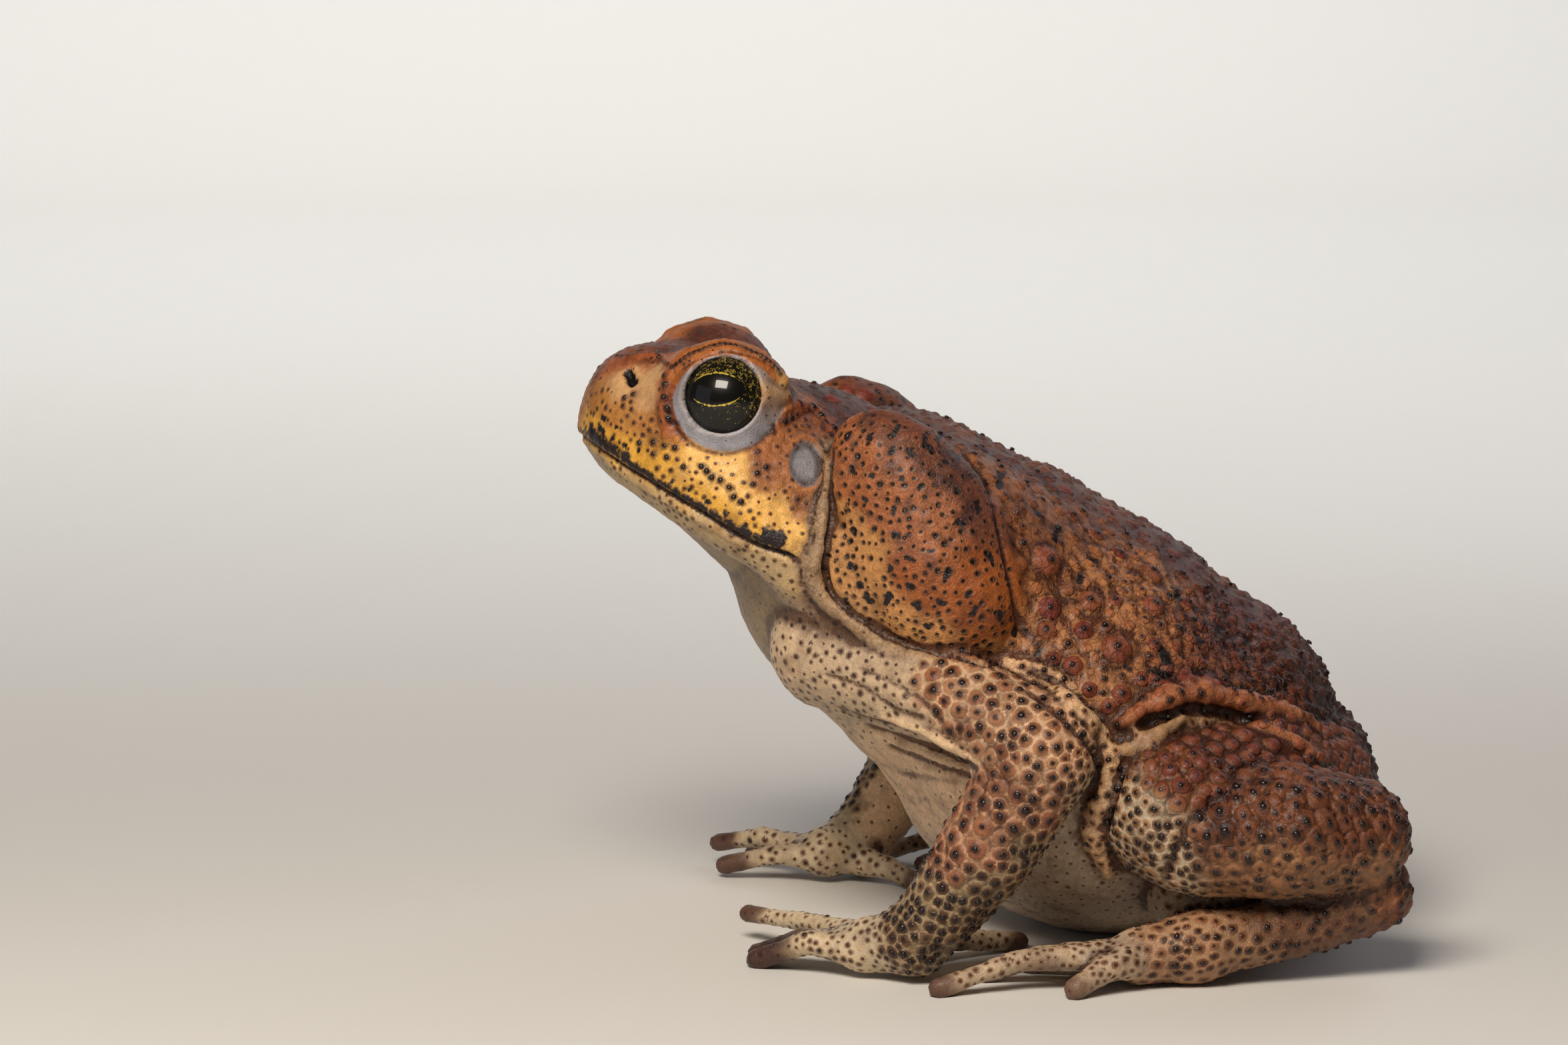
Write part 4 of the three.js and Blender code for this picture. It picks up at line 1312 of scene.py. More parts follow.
@dataclass
class Cells:
    """The centres of warts, scales and pores, each with its size, height and dark tip."""

    centre: Array
    size: Array
    height: Array
    tip: Array
    fill: Array
    red: Array
    lean: Array

    def lone(self) -> Array:
        """Which cells are round warts apart, not scales that meet in furrows."""
        return (self.fill < 0.85) | (self.red > 0)

    def nearest(self, points: Array) -> tuple[Array, Array]:
        """The two cells that each point belongs to most.

        Args:
            points: Rows of x, y and z.

        Returns:
            Cell numbers and distances, two a point; distances along a cell's lean count less.
        """
        tree, candidates = tree_of(self.centre), 5
        found = [tree.find_n(point, candidates) for point in points.tolist()]
        numbers = np.array([[hit[1] for hit in hits] for hits in found])
        vectors = points[:, None] - self.centre[numbers]
        along = (vectors * self.lean[numbers]).sum(2)
        away = np.sqrt(np.maximum((vectors**2).sum(2) - along**2, 0))
        order = np.argsort(away / self.size[numbers], axis=1)[:, :2]
        return np.take_along_axis(numbers, order, 1), np.take_along_axis(away, order, 1)

    def relief(self, points: Array) -> Array:
        """How far the cells raise or sink the skin.

        Args:
            points: Rows of x, y and z.

        Returns:
            Millimetres outwards.
        """
        numbers, away = self.nearest(points)
        share = away / self.size[numbers]
        t = 1.2 * share[:, 0] / np.maximum(share.sum(1), 1e-6) + 0.4 * share[:, 0]
        t = np.where(self.lone()[numbers[:, 0]], share[:, 0], t)
        height, spot = self.height[numbers[:, 0]], self.tip[numbers[:, 0]]
        dome = height * np.clip(1 - (t / self.fill[numbers[:, 0]]) ** 2.6, 0, 1)
        pit = height * np.exp(-((away[:, 0] / (1.3 * np.maximum(spot, 0.2))) ** 2))
        return np.where(height < 0, pit, dome)


@dataclass
class Skin:
    """The toad's one skin, from snout to toe tips, with folds, warts, pores and paint."""

    cell: float = 1.15
    rounds: int = 2
    rim_edge: float = 0.45
    head_edge: float = 0.7
    gland_edge: float = 0.9
    limb_edge: float = 1.06
    plain_edge: float = 1.4
    chest_edge: float = 1.5
    belly_edge: float = 2.2
    far_side: float = 1.45
    part_blend: float = 0.4
    site_blend: float = 0.8
    trunk_blend: float = 2.0
    drum_middle: Pixel = (1208, 697)
    drum_radii: tuple[float, float] = (2.65, 3.35)
    form: Group = field(init=False)
    rope_forms: list[Chain] = field(init=False)

    def __post_init__(self) -> None:
        """Joins the ropes of skin to the flesh."""
        self.rope_forms = [self.rope_form(rope) for rope in ROPES]
        ropes = tuple((form, rope.soft) for form, rope in zip(self.rope_forms, ROPES))
        self.form = Group(((FLESH, 1.0), *ropes))

    @staticmethod
    def rope_form(rope: Rope) -> Chain:
        """The chain of balls under one rope of skin.

        Args:
            rope: The rope.

        Returns:
            A lumpy chain that thins out towards its ends.
        """
        places = VIEW.sites(resampled(rope.path, 3))
        normals = normal_at(FLESH, places * [1, -1, 1]) * [1, -1, 1]
        places = places + normals * rope.rise
        steps = np.arange(len(places))
        lumps = 1 + 0.13 * np.sin(1.3 * steps) + 0.09 * np.sin(2.9 * steps + 1)
        taper = np.minimum(1.0, 0.3 + 0.12 * np.minimum(steps, steps[::-1]))
        radii = rope.radius * taper * lumps
        return Chain(tuple((*place, float(radius)) for place, radius in zip(places.tolist(), radii)))

    def on_skin(self, places: Array) -> Array:
        """Places in x, w and z moved onto the skin, ropes and all."""
        return folded_rows(set_onto(self.form, places * [1, -1, 1], 4))

    def longest(self, points: Array) -> Array:
        """The greatest edge length wanted at some points.

        Args:
            points: Rows of x, y and z.

        Returns:
            Millimetres for each point.
        """
        x, w, z = folded_rows(points).T
        edge = np.full(len(points), self.limb_edge)
        edge[(x < -2) & (w < 28) & (z < 60)] = self.plain_edge
        edge[(z < 2.5) | ((w < 16) & (z < 30) & (x > -25))] = self.belly_edge
        edge[(w < 18) & (x > -28) & (z < 55) & (z > 30) & (x < 0)] = self.chest_edge
        edge[GLAND.depth(points) < 0.6] = self.gland_edge
        edge[(x < -30) & (z > 58)] = self.head_edge
        edge[(x < -30) & (w < 14) & (z < 76)] = self.plain_edge
        away = eye_distance(points)
        edge[(away < 10.4) & (away > EYE_RADIUS + 0.1)] = self.rim_edge
        edge[away < EYE_RADIUS - 0.4] = self.belly_edge
        return edge * np.where(points[:, 1] > 3, self.far_side, 1.0)

    def coat(self, points: Array) -> Coat:
        """What covers the skin at some points, from the forms that lie there and the sites nearest by.

        Args:
            points: The skin's vertices.

        Returns:
            The coat.
        """
        depths = np.stack([form.depth(points) for form in (*PARTS.values(), *self.rope_forms)], 1)
        depths[:, len(PARTS) :] -= 0.25
        share = np.exp(-(depths - depths.min(1, keepdims=True)) / self.part_blend)
        share /= share.sum(1, keepdims=True)
        drift = np.stack([noise_at(points, (3.5, 3.5, 3.5), 7.3 * n) for n in range(3)], 1) * 1.6
        drifted = folded_rows(points + drift)
        weights = np.zeros((len(points), len(Hide)))
        for number, name in enumerate(PARTS):
            rows = np.flatnonzero(share[:, number] > 0.01)
            sites = [(hide.column(), VIEW.sites(group)) for hide, group in SITES[name].items()]
            places = np.concatenate([places for _, places in sites])
            owner = np.concatenate([np.full(len(places), column) for column, places in sites])
            away = np.linalg.norm(drifted[rows, None] - places[None], axis=2)
            blend = self.trunk_blend if name == "trunk" else self.site_blend
            near = np.exp(-(away - away.min(1, keepdims=True)) / blend)
            near /= near.sum(1, keepdims=True)
            for column in np.unique(owner):
                weights[rows, column] += near[:, owner == column].sum(1) * share[rows, number]
        for number, rope in enumerate(ROPES):
            weights[:, rope.hide.column()] += share[:, len(PARTS) + number]
        weights /= weights.sum(1, keepdims=True)
        self.dress_eye(points, weights)
        drum = np.clip((1.05 - self.drum_reach(points)) / 0.12, 0, 1)
        weights *= 1 - drum[:, None]
        weights[:, Hide.DRUM.column()] += drum
        return Coat(weights)

    @staticmethod
    def eye_polar(points: Array) -> tuple[Array, Array, Array]:
        """Where points lie about the gaze.

        Args:
            points: Rows of x, y and z.

        Returns:
            Distance from the gaze, the angle round it in degrees from the rear, and the distance along it.
        """
        along, out, up = ((folded_rows(points) - EYE_CENTRE) @ eye_axes()).T
        return np.hypot(along, up), np.degrees(np.arctan2(up, along)), out

    def dress_eye(self, points: Array, weights: Array) -> None:
        """Paints the pale lower lid and the brown upper lid.

        Args:
            points: The skin's vertices.
            weights: The weight of each stretch, changed in place.
        """
        away, angle, out = self.eye_polar(points)
        turns = (-180, -135, -90, -45, -12, 5, 18, 45, 90, 135, 165, 180)
        pale_edge = np.interp(angle, turns, (7.9, 8.4, 8.8, 9.0, 9.4, 9.5, 8.0, 6.8, 6.45, 6.5, 7.2, 7.9))
        brown_edge = np.interp(angle, turns, (0, 0, 0, 0, 0, 0, 8.8, 9.0, 8.8, 9.4, 9.4, 0))
        front = np.clip(out + 1.0, 0, 1)
        for hide, edge, sharp in ((Hide.UPPER_LID, brown_edge, 0.6), (Hide.LID_PALE, pale_edge, 0.35)):
            share = np.clip((edge - away) / sharp + 0.5, 0, 1) * front
            weights *= 1 - share[:, None]
            weights[:, hide.column()] += share
        rear = 0.8 * np.exp(-(((angle - 4) / 26) ** 2))
        pale, corner = Hide.LID_PALE.column(), Hide.LID_CORNER.column()
        weights[:, corner] += weights[:, pale] * rear
        weights[:, pale] *= 1 - rear

    def drum_reach(self, points: Array) -> Array:
        """How far points are from the eardrum's middle.

        Args:
            points: Rows of x, y and z.

        Returns:
            0 at the middle and 1 at the rim.
        """
        x, w, z = folded_rows(points).T
        middle = VIEW.sites((self.drum_middle,))[0]
        reach = np.hypot((x - middle[0]) / self.drum_radii[0], (z - middle[2]) / self.drum_radii[1])
        return np.where(np.abs(w - middle[1]) < 5, reach, FAR)

    def placed_warts(self) -> Cells:
        """The warts whose places are given.

        Returns:
            Cells of both sides, the left one's first.
        """
        found: list[Array] = []
        for warts in WARTS:
            places = self.on_skin(VIEW.sites(resampled(warts.path, 8) if warts.spacing else warts.path))
            if warts.spacing:
                along = np.concatenate([[0], np.cumsum(np.linalg.norm(np.diff(places, axis=0), axis=1))])
                at = np.arange(0, along[-1], warts.spacing)
                places = np.stack([np.interp(at, along, places[:, n]) for n in range(3)], 1)
            places = unfolded(places)
            kind = np.tile([warts.size, warts.height, warts.tip], (len(places), 1))
            found.append(np.concatenate([places, kind], 1))
        rows = np.concatenate(found)
        full, red = np.full(len(rows), 0.95), (rows[:, 4] > 0.45).astype(float)
        return Cells(rows[:, :3], rows[:, 3], rows[:, 4], rows[:, 5], full, red, np.zeros((len(rows), 3)))

    def scattered(self, points: Array, coat: Coat) -> Cells:
        """All cells: the placed warts, and others strewn between them at the spacing of each stretch.

        Args:
            points: The skin's vertices.
            coat: What covers them.

        Returns:
            The cells.
        """
        draw = np.random.default_rng(SEED)
        placed = self.placed_warts()
        placed.centre = set_onto(self.form, placed.centre, 2)
        spacing, height, spot, share = (coat.value(name) for name in ("spacing", "height", "spot", "share"))
        size = spacing / 2 * draw.uniform(0.72, 1.2, len(points))
        tree = tree_of(points)
        free = np.ones(len(points), bool)
        for place, radius in zip(placed.centre.tolist(), placed.size.tolist()):
            for _, number, away in tree.find_range(place, radius + 1.3):
                if away < radius + 0.75 * size[number]:
                    free[number] = False
        free[eye_distance(points) < EYE_RADIUS + 0.2] = False
        chosen = []
        for number in draw.permutation(len(points)).tolist():
            if free[number]:
                chosen.append(number)
                for _, other, _ in tree.find_range(points[number].tolist(), float(size[number]) * 1.6):
                    free[other] = False
        rows = np.array(chosen)
        fullness = size[rows] / (spacing[rows] / 2)
        tips = spot[rows] * (0.35 + 0.5 * fullness) * draw.uniform(0.6, 1.4, len(rows))
        tips *= draw.uniform(0, 1, len(rows)) < share[rows]
        heights = height[rows] * np.clip(fullness, 0.6, 1.2)
        heights[(height[rows] < 0) & (tips == 0)] = 0
        log.info("cells %d", len(rows) + len(placed.size))
        fill, lean = coat.value("fill")[rows], coat.value("lean")[rows]
        strewn = Cells(points[rows], size[rows], heights, tips, fill, np.zeros(len(rows)), lean)
        return Cells(*(np.concatenate(pair) for pair in zip(vars(placed).values(), vars(strewn).values())))

    def strokes(self, points: Array) -> tuple[Array, Array]:
        """What the strokes do to the skin.

        Args:
            points: The skin's vertices.

        Returns:
            Millimetres outwards, and the strength of the dark paint, which is painted shade where it lies in
            a crease.
        """
        rise, ink = np.zeros(len(points)), np.zeros(len(points))
        skin = folded_rows(points)
        strokes = (*STROKES, *BLOTCHES)
        paths = [resampled(stroke.path, 5) for stroke in strokes]
        ends = np.cumsum([len(path) for path in paths])
        places = self.on_skin(VIEW.sites([site for path in paths for site in path]))
        for stroke, path in zip(strokes, np.split(places, ends[:-1])):
            low, high = path.min(0) - 3 * stroke.width, path.max(0) + 3 * stroke.width
            rows = np.flatnonzero(((skin > low) & (skin < high)).all(1))
            p = skin[rows]
            best, at = np.full(len(rows), FAR), np.zeros(len(rows))
            for number, (a, b) in enumerate(zip(path, path[1:])):
                edge = b - a
                t = np.clip((p - a) @ edge / max(edge @ edge, 1e-9), 0, 1)
                away = np.linalg.norm(p - a - t[:, None] * edge, axis=1)
                closer = away < best
                best[closer], at[closer] = away[closer], (number + t)[closer] / (len(path) - 1)
            taper = np.clip(np.minimum(at, 1 - at) * 8 + 0.25, 0, 1)
            amount = np.exp(-((best / stroke.width) ** 2)) * taper
            rise[rows] += stroke.height * amount
            ink[rows] = np.maximum(ink[rows], stroke.ink * amount)
        return rise, ink

    def creases(self, points: Array, coat: Coat) -> Array:
        """Fine wrinkles and unevenness of the skin.

        Args:
            points: The skin's vertices.
            coat: What covers them.

        Returns:
            Millimetres outwards.
        """
        slant = np.array([[0.8, 0, -0.6], [0, 1, 0], [0.6, 0, 0.8]])
        across = noise_at(points, (1.7, 6.0, 7.0), 3.1)
        slanted = noise_at(points @ slant, (1.5, 6, 5), 9.7)
        lines = np.exp(-((across / 0.10) ** 2)) + 0.7 * np.exp(-((slanted / 0.10) ** 2))
        swell = 0.30 * noise_at(points, (5, 5, 5), 1.3) + 0.12 * noise_at(points, (2.2, 2.2, 2.2), 5.1)
        swell *= 1 + 0.9 * np.clip((0.8 - GLAND.depth(points)) / 0.8, 0, 1)
        return -0.34 * coat.value("crease") * lines + (0.4 + coat.value("grain")) * swell * 0.8

    @staticmethod
    def hollow(points: Array, triangles: Array, normals: Array) -> Array:
        """How deep each point lies in a furrow, over 0, or how far it stands out, under 0.

        Args:
            points: The finished vertices.
            triangles: The triangles.
            normals: The outward directions.

        Returns:
            Millimetres for each vertex.
        """
        smooth = points
        for _ in range(5):
            smooth = mean_of_neighbours(smooth, triangles)
        return ((smooth - points) * normals).sum(1)

    def build(self) -> tuple[bpy.types.Object, Cells, Array]:
        """Makes the skin's mesh with its paint as attributes.

        Returns:
            The object, its cells, and the outward shift and direction at each cell.
        """
        points, triangles = Mesher(self.form, self.cell).build(self.longest, self.rounds)
        log.info("skin %d triangles", len(triangles))
        normals = normal_at(self.form, points)
        coat = self.coat(points)
        cells = self.scattered(points, coat)
        rise, ink = self.strokes(points)
        rise += self.eye_and_drum(points)
        calm = np.clip((eye_distance(points) - EYE_RADIUS - 0.3) / 1.5, 0, 1)
        rise = (cells.relief(points) + self.creases(points, coat)) * calm + rise
        least = 0.02
        rise = np.where(points[:, 2] + rise * normals[:, 2] < least, least - points[:, 2], rise)
        made = points + normals * rise[:, None]
        made[:, 2] = np.maximum(made[:, 2], 0.0)
        skin = make_mesh("skin", made, triangles)
        # hollow also sets the painted shade in furrows and the painted highlight on what stands out
        at_points = {"rest": points, "ink": ink, "hollow": self.hollow(made, triangles, normals)}
        at_points |= {name: coat.value(name) for name in ("dusk", "grain", "crease")}
        at_points |= {"relief": np.abs(coat.value("height"))}
        at_points |= {name: coat.colour(name) for name in ("ground", "dome", "tip")}
        at_faces = self.cell_marks(cells, points[triangles].mean(1))
        for domain, table in (("POINT", at_points), ("FACE", at_faces)):
            for name, values in table.items():
                add_attribute(skin.data, name, domain, values)
        lift = cells.relief(cells.centre)[:, None]
        return skin, cells, np.concatenate([normal_at(self.form, cells.centre), lift], 1)

    def eye_and_drum(self, points: Array) -> Array:
        """The fold under the lower lid, and the eardrum's rim and dish.

        Args:
            points: The skin's vertices.

        Returns:
            Millimetres outwards.
        """
        around, angle, out = self.eye_polar(points)
        fold = np.interp(angle, (-180, -160, -30, -5, 180), (0, 1, 1, 0, 0)) * (out > -2)
        drum = self.drum_reach(points)
        rim = 0.4 * np.exp(-(((drum - 1.15) / 0.12) ** 2)) - 0.25 * np.clip((1.05 - drum) / 0.2, 0, 1)
        return rim - 0.45 * fold * np.exp(-(((around - 9.1) / 0.55) ** 2))

    @staticmethod
    def cell_marks(cells: Cells, middles: Array) -> dict[str, Array]:
        """What the material reads of the cells.

        Args:
            cells: The skin's cells.
            middles: The middles of the faces.

        Returns:
            Values for each face, by attribute.
        """
        first, second = cells.nearest(middles)[0].T
        return {
            "cell_a": cells.centre[first],
            "cell_b": cells.centre[second],
            "cell_size": np.stack([cells.size[first], cells.size[second], cells.tip[first]], 1),
            "pit": (cells.height[first] < 0).astype(float),
            "fill": cells.fill[first],
            "lean": cells.lean[first],
            "red": cells.red[first],
            "lone": cells.lone()[first].astype(float),
        }


@lru_cache
def frame_shift() -> tuple[float, ...]:
    """The shift in millimetres that brings the eye onto the frame's eye."""
    return tuple(np.array(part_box("eye_left")).mean(0) / MM - np.array(EYE_CENTRE) * [1, -1, 1])


def metres(points: Array) -> Array:
    """Points of the toad in the frame's metres."""
    return (points + np.array(frame_shift())) * MM


def add_object(name: str, data: bpy.types.ID) -> bpy.types.Object:
    """A new object of the scene.

    Args:
        name: Its name.
        data: Its mesh, lamp or camera.

    Returns:
        The object.
    """
    made = bpy.data.objects.new(name, data)
    bpy.context.scene.collection.objects.link(made)
    return made


def make_mesh(name: str, points: Array, triangles: Array) -> bpy.types.Object:
    """An object of smooth triangles.

    Args:
        name: The object's name.
        points: Vertices in millimetres.
        triangles: Rows of three vertex numbers.

    Returns:
        The object, linked to the scene.
    """
    mesh = bpy.data.meshes.new(name)
    mesh.vertices.add(len(points))
    mesh.vertices.foreach_set("co", metres(points).astype(np.float32).ravel())
    mesh.loops.add(triangles.size)
    mesh.loops.foreach_set("vertex_index", triangles.astype(np.int32).ravel())
    mesh.polygons.add(len(triangles))
    mesh.polygons.foreach_set("loop_start", np.arange(0, triangles.size, 3, dtype=np.int32))
    mesh.update(calc_edges=True)
    mesh.validate()
    mesh.shade_smooth()
    return add_object(name, mesh)


def add_attribute(mesh: bpy.types.Mesh, name: str, domain: str, values: Array) -> None:
    """Stores values on a mesh for its material to read.

    Args:
        mesh: The mesh.
        name: The attribute's name.
        domain: POINT or FACE.
        values: One number, vector or colour for each point or face.
    """
    width = 1 if values.ndim == 1 else values.shape[1]
    kind, key = {1: ("FLOAT", "value"), 3: ("FLOAT_VECTOR", "vector"), 4: ("FLOAT_COLOR", "color")}[width]
    mesh.attributes.new(name, kind, domain).data.foreach_set(key, values.astype(np.float32).ravel())


# Materials


@dataclass
class Graph:
    """A node tree that is being built, with its material where it has one."""

    tree: bpy.types.NodeTree
    material: bpy.types.Material | None = None

    @classmethod
    def of_material(cls, name: str) -> "Graph":
        """The empty tree of a new material.

        Args:
            name: The material's name.

        Returns:
            The graph.
        """
        material = bpy.data.materials.new(name)
        material.use_nodes = True
        material.node_tree.nodes.clear()
        return cls(material.node_tree, material)

    def put(self, kind: str, inputs: Any = (), out: Any = 0, **settings: Any) -> Any:
        """Adds a node.

        Args:
            kind: The node's type, without ShaderNode where it starts so, and its operation where it has one.
            inputs: Values or sockets for its inputs, by name or number or in their order.
            out: The output to hand back.
            **settings: Properties of the node.

        Returns:
            The output socket, or None where the node has none.
        """
        kind, *operation = kind.split()
        node = self.tree.nodes.new(kind if "Node" in kind else "ShaderNode" + kind)
        if operation:
            node.operation = operation[0]
        for name, value in settings.items():
            setattr(node, name, value)
        for key, value in inputs.items() if isinstance(inputs, dict) else enumerate(inputs):
            if isinstance(value, bpy.types.NodeSocket):
                self.tree.links.new(value, node.inputs[key])
            else:
                node.inputs[key].default_value = value
        return node.outputs[out] if len(node.outputs) else None


@dataclass(frozen=True)
class SkinFinish:
    """Moist toad skin: pale ground with coloured domes, dark tips and pores, painted by attributes, with
    painted shade in its creases and hollows and a painted highlight on what stands out.
    """

    roughness: float = 0.42
    coat: float = 0.08
    shine: float = 0.33
    purple: str = "35211f"
    wart: str = "64261b"
    # furrow: the brown of the clouds, and also the painted shade laid in wrinkles and hollows
    furrow: str = "6b4a3a"
    # A painted highlight laid on what stands out
    ridge_highlight: str = "fff0dc"
    # black: the dark paint of the skin's marks, and also the painted shade in the mouth, the nostril and the
    # inked creases
    black: str = "150c0e"
    graph: Graph = field(default_factory=lambda: Graph.of_material("toad skin"))
    marks: dict[str, Any] = field(default_factory=dict)

    def build(self) -> bpy.types.Material:
        """The skin's material, from its attributes and the masks worked out from them.

        Returns:
            The material.
        """
        put, marks = self.graph.put, self.marks
        self.read()
        self.mark_cells()
        self.mark_wrinkles()
        gloss = put("Math MULTIPLY_ADD", [marks["knob"], -0.24, self.roughness])
        rough = put("Math MULTIPLY_ADD", [marks["mottle"], 0.12, gloss])
        shader = put(
            "BsdfPrincipled",
            {
                "Base Color": self.colour(),
                "Roughness": rough,
                "Normal": self.bump(),
                "Specular IOR Level": self.shine,
                "Coat Weight": self.coat,
                "Coat Roughness": 0.2,
                "Subsurface Weight": 0.08,
                "Subsurface Radius": (1.0, 0.45, 0.25),
                "Subsurface Scale": 0.0008,
            },
        )
        put("OutputMaterial", {"Surface": shader})
        return self.graph.material

    def read(self) -> None:
        """Marks the skin's attributes, and the noises that fleck it."""
        put, marks = self.graph.put, self.marks
        attributes = {
            "Vector": ("rest", "cell_a", "cell_b", "cell_size", "lean"),
            "Fac": ("lone", "fill", "red", "pit", "ink", "dusk", "grain", "crease", "hollow", "relief"),
            "Color": ("ground", "dome", "tip"),
        }
        for output, names in attributes.items():
            for name in names:
                marks[name] = put("Attribute", (), output, attribute_name=name)
        for name, scale, detail in (("mottle", 1.1, 3.0), ("fine", 3.2, 2.0), ("broad", 0.22, 4.0)):
            marks[name] = put("TexNoise", {"Vector": marks["rest"], "Scale": scale, "Detail": detail}, "Fac")
        marks["wobble"] = put("Math SUBTRACT", [marks["mottle"], 0.5])

    def mark_cells(self) -> None:
        """Marks each wart's dome, its stained ring and its dark knob."""
        put, marks = self.graph.put, self.marks
        radius_a, radius_b, spot = put("SeparateXYZ", [marks["cell_size"]]).node.outputs
        away = []
        for name in ("cell_a", "cell_b"):
            way = put("VectorMath SUBTRACT", [marks["rest"], marks[name]])
            square = put("VectorMath DOT_PRODUCT", [way, way], "Value")
            along = put("VectorMath DOT_PRODUCT", [way, marks["lean"]], "Value")
            along = put("Math POWER", [along, 2.0])
            left = put("Math SUBTRACT", [square, along])
            away.append(put("Math POWER", [left, 0.5]))
        share_a = put("Math DIVIDE", [away[0], radius_a])
        share_b = put("Math DIVIDE", [away[1], radius_b])
        both = put("Math ADD", [share_a, share_b])
        half = put("Math MULTIPLY", [both, 0.5])
        t = put("Math DIVIDE", [share_a, half])
        t = put("Math MULTIPLY", [t, 0.6])
        t = put("Math MULTIPLY_ADD", [share_a, 0.4, t])
        t = put("Mix", {0: marks["lone"], 2: t, 3: share_a}, data_type="FLOAT")
        t = put("Math MULTIPLY_ADD", [marks["wobble"], 0.16, t])
        inner = put("MapRange", {"Value": marks["lone"], "To Min": 0.66, "To Max": 0.8})
        inner = put("Math MULTIPLY", [marks["fill"], inner])
        sway = put("Math MULTIPLY", [spot, 1.7])
        reach = put("Math MULTIPLY_ADD", [marks["wobble"], sway, away[0]])
        shares = (2.3, 1.12, 0.5)
        stain_end, knob_end, knob_start = (put("Math MULTIPLY", [spot, n]) for n in shares)
        for name, value, start, end, most in (
            ("swell", t, marks["fill"], inner, 1.0),
            ("stain", reach, stain_end, spot, 0.7),
            ("knob", reach, knob_end, knob_start, 1.0),
        ):
            limits = {"Value": value, "From Min": start, "From Max": end, "To Max": most}
            marks[name] = put("MapRange", limits, interpolation_type="SMOOTHSTEP")

    def mark_wrinkles(self) -> None:
        """Marks a net of fine wrinkles."""
        put, marks = self.graph.put, self.marks
        drift = put("TexNoise", {"Vector": marks["rest"], "Scale": 0.5, "Detail": 2.0}, "Color")
        warped = put("VectorMath MULTIPLY_ADD", [drift, (3.0, 3.0, 3.0), marks["rest"]])
        net = put("TexVoronoi", {"Vector": warped, "Scale": 0.62}, "Distance", feature="DISTANCE_TO_EDGE")
        line = put("MapRange", {"Value": net, "From Max": 0.1, "To Min": 1.0, "To Max": 0.0})
        marks["wrinkle"] = put("Math MULTIPLY", [line, marks["crease"]])

    def colour(self) -> Any:
        """The skin's colour, laid on coat by coat.

        Returns:
            The colour's socket.
        """
        put, marks = self.graph.put, self.marks
        domes = put("Mix", {0: marks["red"], 6: marks["dome"], 7: linear(self.wart)}, 2, data_type="RGBA")
        chance = put("TexWhiteNoise", {"Vector": marks["cell_a"]}, "Value")
        rich = put("MapRange", {"Value": chance, "To Min": 0.65, "To Max": 1.0})
        rich = put("Math MULTIPLY", [marks["swell"], rich])
        # Brown clouds, and purple-black ones over the back
        brown = put("MapRange", {"Value": marks["broad"], "From Min": 0.5, "From Max": 0.68, "To Max": 0.45})
        cloud = put("Math MULTIPLY_ADD", [marks["dusk"], 0.75, marks["broad"]])
        cloudy = {"Value": cloud, "From Min": 0.72, "From Max": 0.98, "To Max": 0.8}
        cloudy = put("MapRange", cloudy, interpolation_type="SMOOTHSTEP")
        # Black paint with a ragged edge: the skin's dark marks, and painted shade in the mouth, the nostril
        # and the inked creases
        ragged = put("Math MULTIPLY_ADD", [marks["wobble"], 1.1, marks["ink"]])
        painted_black_and_shade = {"Value": ragged, "From Min": 0.28, "From Max": 0.72}
        painted_black_and_shade = put("MapRange", painted_black_and_shade, interpolation_type="SMOOTHSTEP")
        # Light and dark grain
        speck = put("Math MULTIPLY", [marks["fine"], marks["mottle"]])
        spread = put("Math MULTIPLY_ADD", [speck, 4.0, -1.0])
        shade = put("Math MULTIPLY_ADD", [spread, marks["grain"], 1.0])
        # Painted shade in the wrinkles, furrows and hollows, and a painted highlight on what stands out
        wrinkled = put("Math MULTIPLY", [marks["wrinkle"], 0.75])
        hollow = marks["hollow"]
        deep = put("MapRange", {"Value": hollow, "From Min": 0.01, "From Max": 0.2, "To Max": 0.9})
        painted_highlight = put("MapRange", {"Value": hollow, "From Min": -0.03, "From Max": -0.25, "To Max": 0.35})
        furrow = linear(self.furrow)
        colour = marks["ground"]
        for blend, share, coat in (
            ("MIX", rich, domes),
            ("MIX", marks["stain"], marks["tip"]),
            ("MIX", marks["knob"], marks["tip"]),
            ("MULTIPLY", brown, furrow),
            ("MIX", cloudy, linear(self.purple)),
            ("MIX", painted_black_and_shade, linear(self.black)),
            ("MULTIPLY", 1.0, shade),
            ("MULTIPLY", wrinkled, furrow),
            ("MULTIPLY", deep, furrow),
            ("SOFT_LIGHT", painted_highlight, linear(self.ridge_highlight)),
        ):
            colour = put("Mix", {0: share, 6: colour, 7: coat}, 2, data_type="RGBA", blend_type=blend)
        return colour

    def bump(self) -> Any:
        """Fine relief: knobs and pits, wrinkles, pebbles and grain.

        Returns:
            The normal's socket.
        """
        put, marks = self.graph.put, self.marks
        knob = put("Math MULTIPLY", [marks["knob"], 0.10])
        sign = put("Math MULTIPLY_ADD", [marks["pit"], -3.0, 1.0])
        knobs = put("Math MULTIPLY", [knob, sign])
        swell = put("Math MULTIPLY", [marks["swell"], marks["relief"]])
        pebbles = {"Vector": marks["rest"], "Scale": 2.2}
        pebbles = put("TexVoronoi", pebbles, "Distance", feature="DISTANCE_TO_EDGE")
        pebble = put("MapRange", {"Value": pebbles, "From Max": 0.25, "To Max": 0.05})
        grainy = put("Math MULTIPLY_ADD", [marks["fine"], 0.09, pebble])
        grainy = put("Math MULTIPLY_ADD", [marks["wrinkle"], -0.16, grainy])
        low = put("Math MULTIPLY_ADD", [swell, 0.5, grainy])
        height = put("Math ADD", [low, knobs])
        return put("Bump", {"Strength": 0.8, "Distance": 0.001, "Height": height})


